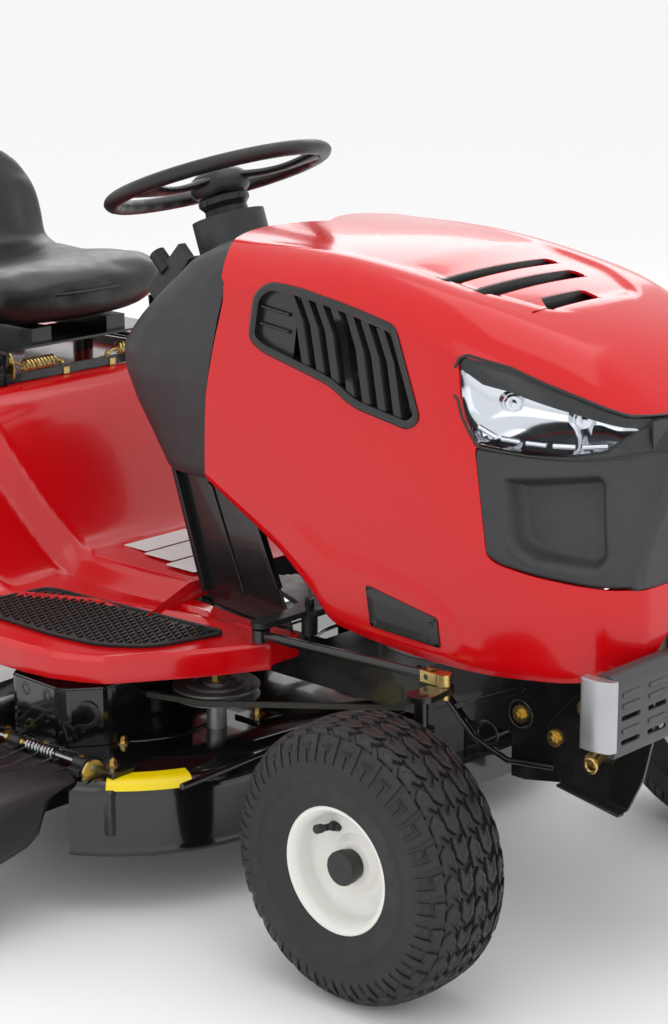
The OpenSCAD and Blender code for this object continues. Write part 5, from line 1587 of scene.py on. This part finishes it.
# ---------------------------------------------------------------------------
# Rims: pressed steel dishes in warm white enamel, with a rolled flange, a dropped centre
# and a welded hub. A black rubber valve and a black moulded cap finish the outer side.
white_enamel = finish("warm_white_enamel", (0.80, 0.79, 0.75), 0.22, ripple=0.08, coat=0.4, shade=0.03)
valve_rubber = finish("valve_rubber", (0.015, 0.015, 0.015), 0.4)
for which, (r, w, bead) in tyre_sizes.items():
    for side_name, k in (("left", 1), ("right", -1)):
        node = f"{which}_rim_{side_name}"
        lo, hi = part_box(f"{which}_tyre_{side_name}")
        hub = (((lo.x + hi.x) / 2 - rear_axle_x) * 1000, ((lo.y + hi.y) / 2 - middle_y) * 1000, r)
        h = w * 0.40 + 0.4
        f = h + 3.6
        lip = [(bead + 9.4, f - 2.4), (bead + 8.6, f - 0.4), (bead + 6.4, f), (bead + 3.0, f - 0.6),
            (bead, f - 3), (bead - 3.6, f - 8)]
        dish = [(bead - 5.4, f - 16), (bead - 6.4, f - 26), (bead - 8, f - 31), (bead - 13, f - 36),
            (bead - 24, f - 40.5),
                (bead * 0.62, f - 43), (bead * 0.5, f - 42), (bead * 0.43, f - 37), (30, f - 33),
                (27, f - 32.5), (14, f - 32.5)]
        back = [(14, f - 36), (27, f - 36), (30, f - 36.5), (bead * 0.42, f - 40.5), (bead * 0.5, f - 46),
            (bead - 24, f - 44.5),
                (bead - 12, f - 40), (bead - 4.5, f - 32), (bead - 2.6, f - 26)]
        far = [(bead - 3, f - 50), (bead - 14, f - 58), (bead - 14, -f + 34), (bead - 3, -f + 24),
            (bead - 3.6, -f + 8), (bead, -f + 3),
               (bead + 3, -f + 0.6), (bead + 6.4, -f), (bead + 8.6, -f + 0.4), (bead + 9.4, -f + 2.4),
               (bead + 6.4, -f + 3.6),
               (bead + 3, -f + 4), (bead, -f + 7), (bead - 0.5, -f + 22), (bead - 11, -f + 33),
               (bead - 11, f - 60),
               (bead - 0.6, f - 48), (bead - 0.6, f - 7), (bead + 3, f - 4), (bead + 6.4, f - 3.6)]
        bm = bmesh.new()
        turned(bm, lip + dish + back + far, hub, (0, k, 0), 96)
        new_piece(bm, f"{which}_rim_dish_{side_name}", white_enamel, f"{which}_wheel_{side_name}",
            [node], smooth=28)
        bm = bmesh.new()
        low = -46 if which == "front" else -80
        turned(bm, [(10.5, low), (26, low), (26, f - 34), (23.4, f - 32), (10.5, f - 32)], hub, (0, k, 0), 48)
        new_piece(bm, f"{which}_hub_{side_name}", white_enamel, f"{which}_wheel_{side_name}",
            smooth=35)
        bm = bmesh.new()
        turned(bm, [(0, f - 33), (20.4, f - 33), (20.8, f - 24), (23, f - 22), (23.4, f - 12), (22.6, f - 9.4),
            (19, f - 8.6),
                    (4, f - 9.2), (3, f - 8.4), (0, f - 8.4)], hub, (0, k, 0), 48)
        place = Vector(hub) + Vector((-0.46 * bead, k * (f - 42), 0.52 * bead))
        aim = Vector((-0.08, k * 1.0, 0.12)).normalized()
        for a, b, d, d2 in ((-2, 8, 17, 13), (8, 22, 10, 9), (22, 27, 9, 12), (27, 36, 12.5, 12.5),
                (36, 38, 12.5, 9)):
            rod(bm, place + aim * a, place + aim * b, d, 20, d2)
        new_piece(bm, f"{which}_cap_and_valve_{side_name}", valve_rubber, f"{which}_wheel_{side_name}",
            smooth=35)

# Axle shaft stubs: ground steel, keyed to the hub.
ground_shaft = finish("ground_shaft_steel", (0.4, 0.4, 0.41), 0.3, grain=0.2, metallic=0.95)
for side_name, k in (("left", 1), ("right", -1)):
    bm = bmesh.new()
    rod(bm, (0, k * 75, 254), (0, k * 400, 254), 23.8, 32)
    new_piece(bm, f"axle_shaft_{side_name}", ground_shaft, f"rear_wheel_{side_name}", smooth=35)

# ---------------------------------------------------------------------------
# Engine: die-cast aluminium block with a pressed steel shroud over the flywheel and a
# steel muffler in front.
cast_alloy = finish("cast_aluminium", (0.42, 0.43, 0.44), 0.45, grain=0.5, grain_size=2.5, metallic=0.9)
shroud_paint = finish("shroud_paint", (0.02, 0.02, 0.022), 0.35, ripple=0.1)
hot_steel = finish("heat_marked_steel", (0.16, 0.13, 0.11), 0.5, grain=0.3, metallic=0.85, shade=0.35)
turned_steel = finish("turned_steel", (0.33, 0.34, 0.35), 0.3, grain=0.15, metallic=0.95)
paint_nodes(cast_alloy, "engine_block", "transaxle")
paint_nodes(shroud_paint, "engine_shroud")
paint_nodes(hot_steel, "muffler")
paint_nodes(turned_steel, "crank_pulley", "tie_rod", "ignition_key")
oxide_steel = finish("black_oxide_steel", (0.03, 0.03, 0.031), 0.4, grain=0.2, metallic=0.6)
paint_nodes(oxide_steel, "sector_gear", "steering_shaft")

# ---------------------------------------------------------------------------
# Fuel tank: blow-moulded natural polyethylene, slightly see-through to the light, with a
# ribbed black cap.
tank_plastic = finish("milky_polyethylene", (0.74, 0.72, 0.64), 0.5, grain=0.12, shade=0.05)
tank_plastic.node_tree.nodes["Principled BSDF"].inputs["Subsurface Weight"].default_value = 0.2
tank_plastic.node_tree.nodes["Principled BSDF"].inputs["Subsurface Radius"].default_value = (0.01, 0.009, 0.007)
paint_nodes(tank_plastic, "fuel_tank")
paint_nodes(dull_black, "fuel_cap", "battery")

# ---------------------------------------------------------------------------
# Axle and steering hardware: zinc plate with a yellow passivation gives the bolts and rod
# ends their gold colour.

paint_nodes(gold_zinc, "drag_rod_end", "chassis_bolts")
paint_nodes(black_coat, "drag_link")

# ---------------------------------------------------------------------------
# Mower deck: a pressed steel shell in thick gloss black paint. The top edge is rounded
# over and the lower lip is rolled; a raised ring carries each blade spindle.
deck_paint = finish("deck_gloss_black", (0.005, 0.005, 0.0055), 0.13, ripple=0.12, coat=0.5)
spindles = ((585, -260), (645, 260))
chamber_r = 285  # outside of each blade chamber
hinge_y, hinge_z = -478, 216  # middle of the deflector's hinge rod
idler_x, idler_y = 724, -218


def deck_plan(grow, n=48):
    """The tangent outline round both blade chambers."""
    (x0, y0), (x1, y1) = spindles
    a0 = math.atan2(y1 - y0, x1 - x0)
    r_now = chamber_r + grow
    pts = []
    for i in range(n + 1):
        a = a0 + math.pi / 2 + math.pi * i / n
        pts.append((x0 + r_now * math.cos(a), y0 + r_now * math.sin(a)))
    for i in range(n + 1):
        a = a0 - math.pi / 2 + math.pi * i / n
        pts.append((x1 + r_now * math.cos(a), y1 + r_now * math.sin(a)))
    return pts


bm = bmesh.new()
rings = []
for grow, z in ((-3, 90), (0.5, 90), (1.5, 93), (0.5, 98), (-0.5, 104), (-0.5, 176), (-2, 186), (-6, 194),
        (-13, 199), (-22, 200),
                (-60, 200), (-63, 202.5), (-68, 204), (-110, 204), (-110, 199), (-24, 196), (-14, 193),
                (-6, 184), (-3.5, 176), (-3.5, 94)):
    rings.append([bm.verts.new((x, y, z)) for x, y in deck_plan(grow)])
n = len(rings[0])
wrap(bm, rings + rings[:1])
top_ring, under_ring = rings[13], rings[14]
bm.faces.new(top_ring)
bm.faces.new(list(reversed(under_ring)))
for f in [f for f in bm.faces if len(f.verts) == 4 and all(v in set(top_ring + under_ring) for v in f.verts)]:
    bm.faces.remove(f)
outward(bm)
deck = new_piece(bm, "deck_pressing", deck_paint, "deck", ["deck_shell"], smooth=40)
holes = []
for x, y in spindles:
    bm = bmesh.new()
    rod(bm, (x, y, 150), (x, y, 240), 62, 48)
    holes.append(cutter(bm))
bm = bmesh.new()
block(bm, (432, -700, 80), (724, -495, 184))
holes.append(cutter(bm))
cut(deck, *holes)
deck.data.set_sharp_from_angle(angle=math.radians(40))

# Stiffening beads, flanges and screws on the deck's top.
bm = bmesh.new()
for x, y in spindles:
    tube(bm, [(x + 128 * math.cos(a), y + 128 * math.sin(a),
        203) for a in (2 * math.pi * i / 64 for i in range(64))], 4.5, 10, True)
tube(bm, [(860 - i * 2, -420 + i * 42, 201) for i in range(21)], 5, 10)
for x, y in ((742, -440), (742, -150), (806, 60), (800, 380)):
    block(bm, (x - 26, y - 24, 199), (x + 26, y + 24, 209))
new_piece(bm, "deck_beads", deck_paint, "deck", smooth=40, bevel=2)
bm = bmesh.new()
for x, y in ((742, -440), (742, -150), (806, 60), (800, 380), (690, -452), (676, -360)):
    bolt(bm, (x, y, 204 if (x, y) in ((690, -452), (676, -360)) else 209), (0, 0, 1), 12, 20)
new_piece(bm, "deck_screws", gold_zinc, "deck", smooth=35)

# ---------------------------------------------------------------------------
# Belt covers: folded black steel boxes over the spindle pulleys, with bent tabs along the
# top edge, a round window and screws through the feet.
bm = bmesh.new()
for k, (cx, cy) in ((-1, spindles[0]), (1, spindles[1])):
    if k < 0:
        lid = [(cx - 76, cy - 168), (cx - 76, cy + 52), (cx - 40, cy + 62), (cx + 78, cy + 62),
            (cx + 82, cy - 120), (cx + 40, cy - 172)]
    else:
        lid = [(cx - 76, cy - 60), (cx - 76, cy + 120), (cx - 40, cy + 168), (cx + 50, cy + 168),
            (cx + 80, cy + 130), (cx + 78, cy - 60)]
    soft_lid = rounded(lid, 14, 4)
    plate(bm, soft_lid, "z", 289, 292.5)
    n = len(soft_lid)
    for i in range(n):
        a, b = Vector(soft_lid[i]), Vector(soft_lid[(i + 1) % n])
        mid = (a + b) / 2
        inward = (mid.y - cy) * k < 20
        low = 205 if not inward else 274
        if (b - a).length > 0.5:
            nn = Vector((-(b - a).y, (b - a).x)).normalized() * 1.6
            corners = [(a.x, a.y), (b.x, b.y), (b.x + nn.x, b.y + nn.y), (a.x + nn.x, a.y + nn.y)]
            plate(bm, corners, "z", low, 289.5)
new_piece(bm, "belt_cover_boxes", deck_paint, "deck", ["belt_covers"], smooth=35)
bm = bmesh.new()
cx, cy = spindles[0]
for x, y in ((cx - 76, cy - 120), (cx - 76, cy - 60), (cx + 10, cy - 172), (cx - 40, cy - 170)):
    turned(bm, [(5, -1.5), (10, -1.5), (11, 0), (10, 1.5), (5, 1.5)], (x, y, 276),
        (-1 if x < cx - 70 else 0, 0 if x < cx - 70 else -1, 0), 24)
turned(bm, [(14, 0), (22, 0), (22, 2.2), (14, 2.2)], (cx + 62, cy - 146, 252), (0.6, -0.8, 0), 32)
for x, y in ((cx - 60, cy - 186), (cx + 30, cy - 190)):
    block(bm, (x - 14, y - 12, 203), (x + 14, y + 22, 206))
new_piece(bm, "belt_cover_tabs", black_coat, "deck", smooth=35, bevel=0.8)
bm = bmesh.new()
for x, y in ((cx - 60, cy - 190), (cx + 30, cy - 194)):
    bolt(bm, (x, y, 206), (0, 0, 1), 12, 18)
new_piece(bm, "belt_cover_screws", gold_zinc, "deck", smooth=35)

# Yellow warning-colour label, left blank, on the deck's rounded shoulder.
label_yellow = finish("label_yellow", (0.88, 0.68, 0.0), 0.35, shade=0.02)
bm = bmesh.new()
rows = []
for i in range(21):
    a = math.radians(-50.0 + i * 1.25)
    row = []
    for grow, z in ((0.6, 150), (0.4, 176), (-1.4, 186.6), (-5.6, 194.8), (-12.8, 199.9), (-22, 200.9),
            (-38, 201)):
        reach = chamber_r + grow
        row.append(bm.verts.new((585 + reach * math.cos(a), -260 + reach * math.sin(a), z)))
    rows.append(row)
for one, two in zip(rows, rows[1:]):
    for j in range(2, 6):
        bm.faces.new((one[j], two[j], two[j + 1], one[j + 1]))
outward(bm)
new_piece(bm, "blank_yellow_label", label_yellow, "deck", smooth=50)

# ---------------------------------------------------------------------------
# Discharge deflector: thick charcoal moulding with rounded shoulders. It hangs on a steel
# rod between knuckles and is pressed down by wire torsion springs.
deflector_plastic = finish("deflector_plastic", (0.014, 0.014, 0.015), 0.42, grain=0.5, grain_size=1.8)
bm = bmesh.new()
profile = [(-486, 207), (-560, 208), (-620, 206), (-680, 199), (-720, 186), (-748, 164), (-762, 136),
    (-768, 104)]
rows = []
for i in range(25):
    x = 423 + (733 - 423) * i / 24
    end = min(i, 24 - i)
    drop = {0: 13, 1: 6.5, 2: 3, 3: 1.2}.get(end, 0)
    x_now = x + {0: 1.5, 1: 0.4}.get(end, 0) * (1 if i < 12 else -1)
    row = []
    for j, (y, z) in enumerate(profile):
        lift = 2.2 * (1 if (i % 6 in (0, 1) and 0 < j < 7 and 3 < i < 21) else 0)
        row.append(bm.verts.new((x_now, y + (drop * 0.7 if j > 3 else 0), z - drop + lift)))
    rows.append(row)
skin(bm, rows)
for row, s in ((rows[0], -1), (rows[-1], 1)):
    low = [bm.verts.new((v.co.x + s * 0.5, max(v.co.y, -766),
        max(104 + (0 if v.co.y < -700 else (v.co.y + 700) * 0.2), v.co.z - 90))) for v in row[1:]]
    for j in range(1, len(row) - 1):
        a, b = low[j - 1], low[j]
        if (a.co - row[j].co).length > 1 and (b.co - row[j + 1].co).length > 1:
            bm.faces.new((row[j], row[j + 1], b, a))
outward(bm)
chute = new_piece(bm, "deflector_moulding", deflector_plastic, "deflector", ["deflector"],
    smooth=50)
thicken(chute, 0.004)
soft = chute.modifiers.new("round", "SUBSURF")
soft.levels = soft.render_levels = 1
bm = bmesh.new()
for x in (437, 578, 719):
    block(bm, (x - 12, -496, 203), (x + 12, -470, 213))
    turned(bm, [(4.4, -12), (9, -12), (9, 12), (4.4, 12)], (x, hinge_y, hinge_z), (1, 0, 0), 28)
for i in range(9):
    x = 452 + i * 31
    block(bm, (x - 3, -596, 205.5), (x + 3, -490, 209.5))
new_piece(bm, "deflector_knuckles", deflector_plastic, "deflector", smooth=35, bevel=1)
bright_steel = finish("bright_spring_steel", (0.42, 0.42, 0.43), 0.25, grain=0.1, metallic=1.0)
bm = bmesh.new()
rod(bm, (410, hinge_y, hinge_z), (746, hinge_y, hinge_z), 8, 20)
for x0 in (470, 605):
    path = []
    for i in range(9 * 16 + 1):
        a = 2 * math.pi * i / 16
        path.append((x0 + 60 * i / 144, hinge_y + 8.2 * math.cos(a), hinge_z + 8.2 * math.sin(a)))
    tube(bm, path, 1.7, 6)
    for dx in (0, 30, 60):
        tube(bm, [(x0 + dx, -486, 214), (x0 + dx + 2, -520, 212), (x0 + dx + 4, -566, 211.6)], 1.6, 6)
        tube(bm, [(x0 + dx, -471, 222), (x0 + dx, -452, 214), (x0 + dx, -436, 206)], 1.6, 6)
new_piece(bm, "deflector_springs", bright_steel, "deck", ["deflector_hinge"], smooth=45)
bm = bmesh.new()
for x in (408, 742):
    plate(bm, rounded([(-497, 200.5), (-452, 200.5), (-456, 212), (-470, 227), (-486, 227), (-497, 214)],
        [3, 3, 8, 10, 10, 6], 4), "x", x - 2, x + 2)
for x in (416, 560, 593, 738):
    rod(bm, (x - 3, hinge_y, hinge_z), (x + 3, hinge_y, hinge_z), 13, 20)
new_piece(bm, "deflector_brackets", gold_zinc, "deck", smooth=35)

# Small black bracket box bolted to the front skirt, beside the deflector.
bm = bmesh.new()
block(bm, (742, -480, 120), (778, -440, 188))
new_piece(bm, "skirt_bracket", deck_paint, "deck", smooth=35, bevel=4)

# ---------------------------------------------------------------------------
# Pulleys and belt: zinc-grey pressed pulleys with stepped rings, and a dark belt whose
# edge shows a woven grain. The blades are ground steel.
blade_steel = finish("ground_blade_steel", (0.38, 0.38, 0.39), 0.35, grain=0.3, metallic=0.95)
belt_rubber = finish("belt_rubber", (0.05, 0.046, 0.038), 0.75, grain=0.5)
pulley_grey = finish("pressed_pulley_grey", (0.16, 0.165, 0.17), 0.4, grain=0.3, metallic=0.6)
bm = bmesh.new()
turned(bm, [(8.55, -8), (65, -8), (65, -6), (55, -1), (54, 1), (65, 6), (65, 9), (60, 10), (52, 8), (46, 8.5),
    (44, 12), (34, 12.5), (32, 9),
            (22, 9), (20, 14), (8.55, 14)], (idler_x, idler_y, 262), (0, 0, 1), 64)
new_piece(bm, "idler_pulley", pulley_grey, "idler", ["deck_idler"], smooth=30)
bm = bmesh.new()
bolt(bm, (idler_x, idler_y, 275), (0, 0, 1), 15, 22)
new_piece(bm, "idler_nut", gold_zinc, "deck", smooth=35)
paint_nodes(cast_alloy, "spindle_housings")
paint_nodes(deck_paint, "lift_links")
paint_nodes(blade_steel, "blade_spindle_left", "blade_spindle_right")
paint_nodes(belt_rubber, "deck_belt")

# ---------------------------------------------------------------------------
# Hand levers: flat steel arms with moulded knobs, finished in black moulded plastic, the throttle in red.
red_plastic = finish("red_moulded_plastic", (0.5, 0.01, 0.012), 0.3)
paint_nodes(dull_black, "speed_lever", "direction_lever")
paint_nodes(red_plastic, "throttle_lever")
paint_nodes(dull_black, "blade_lever")
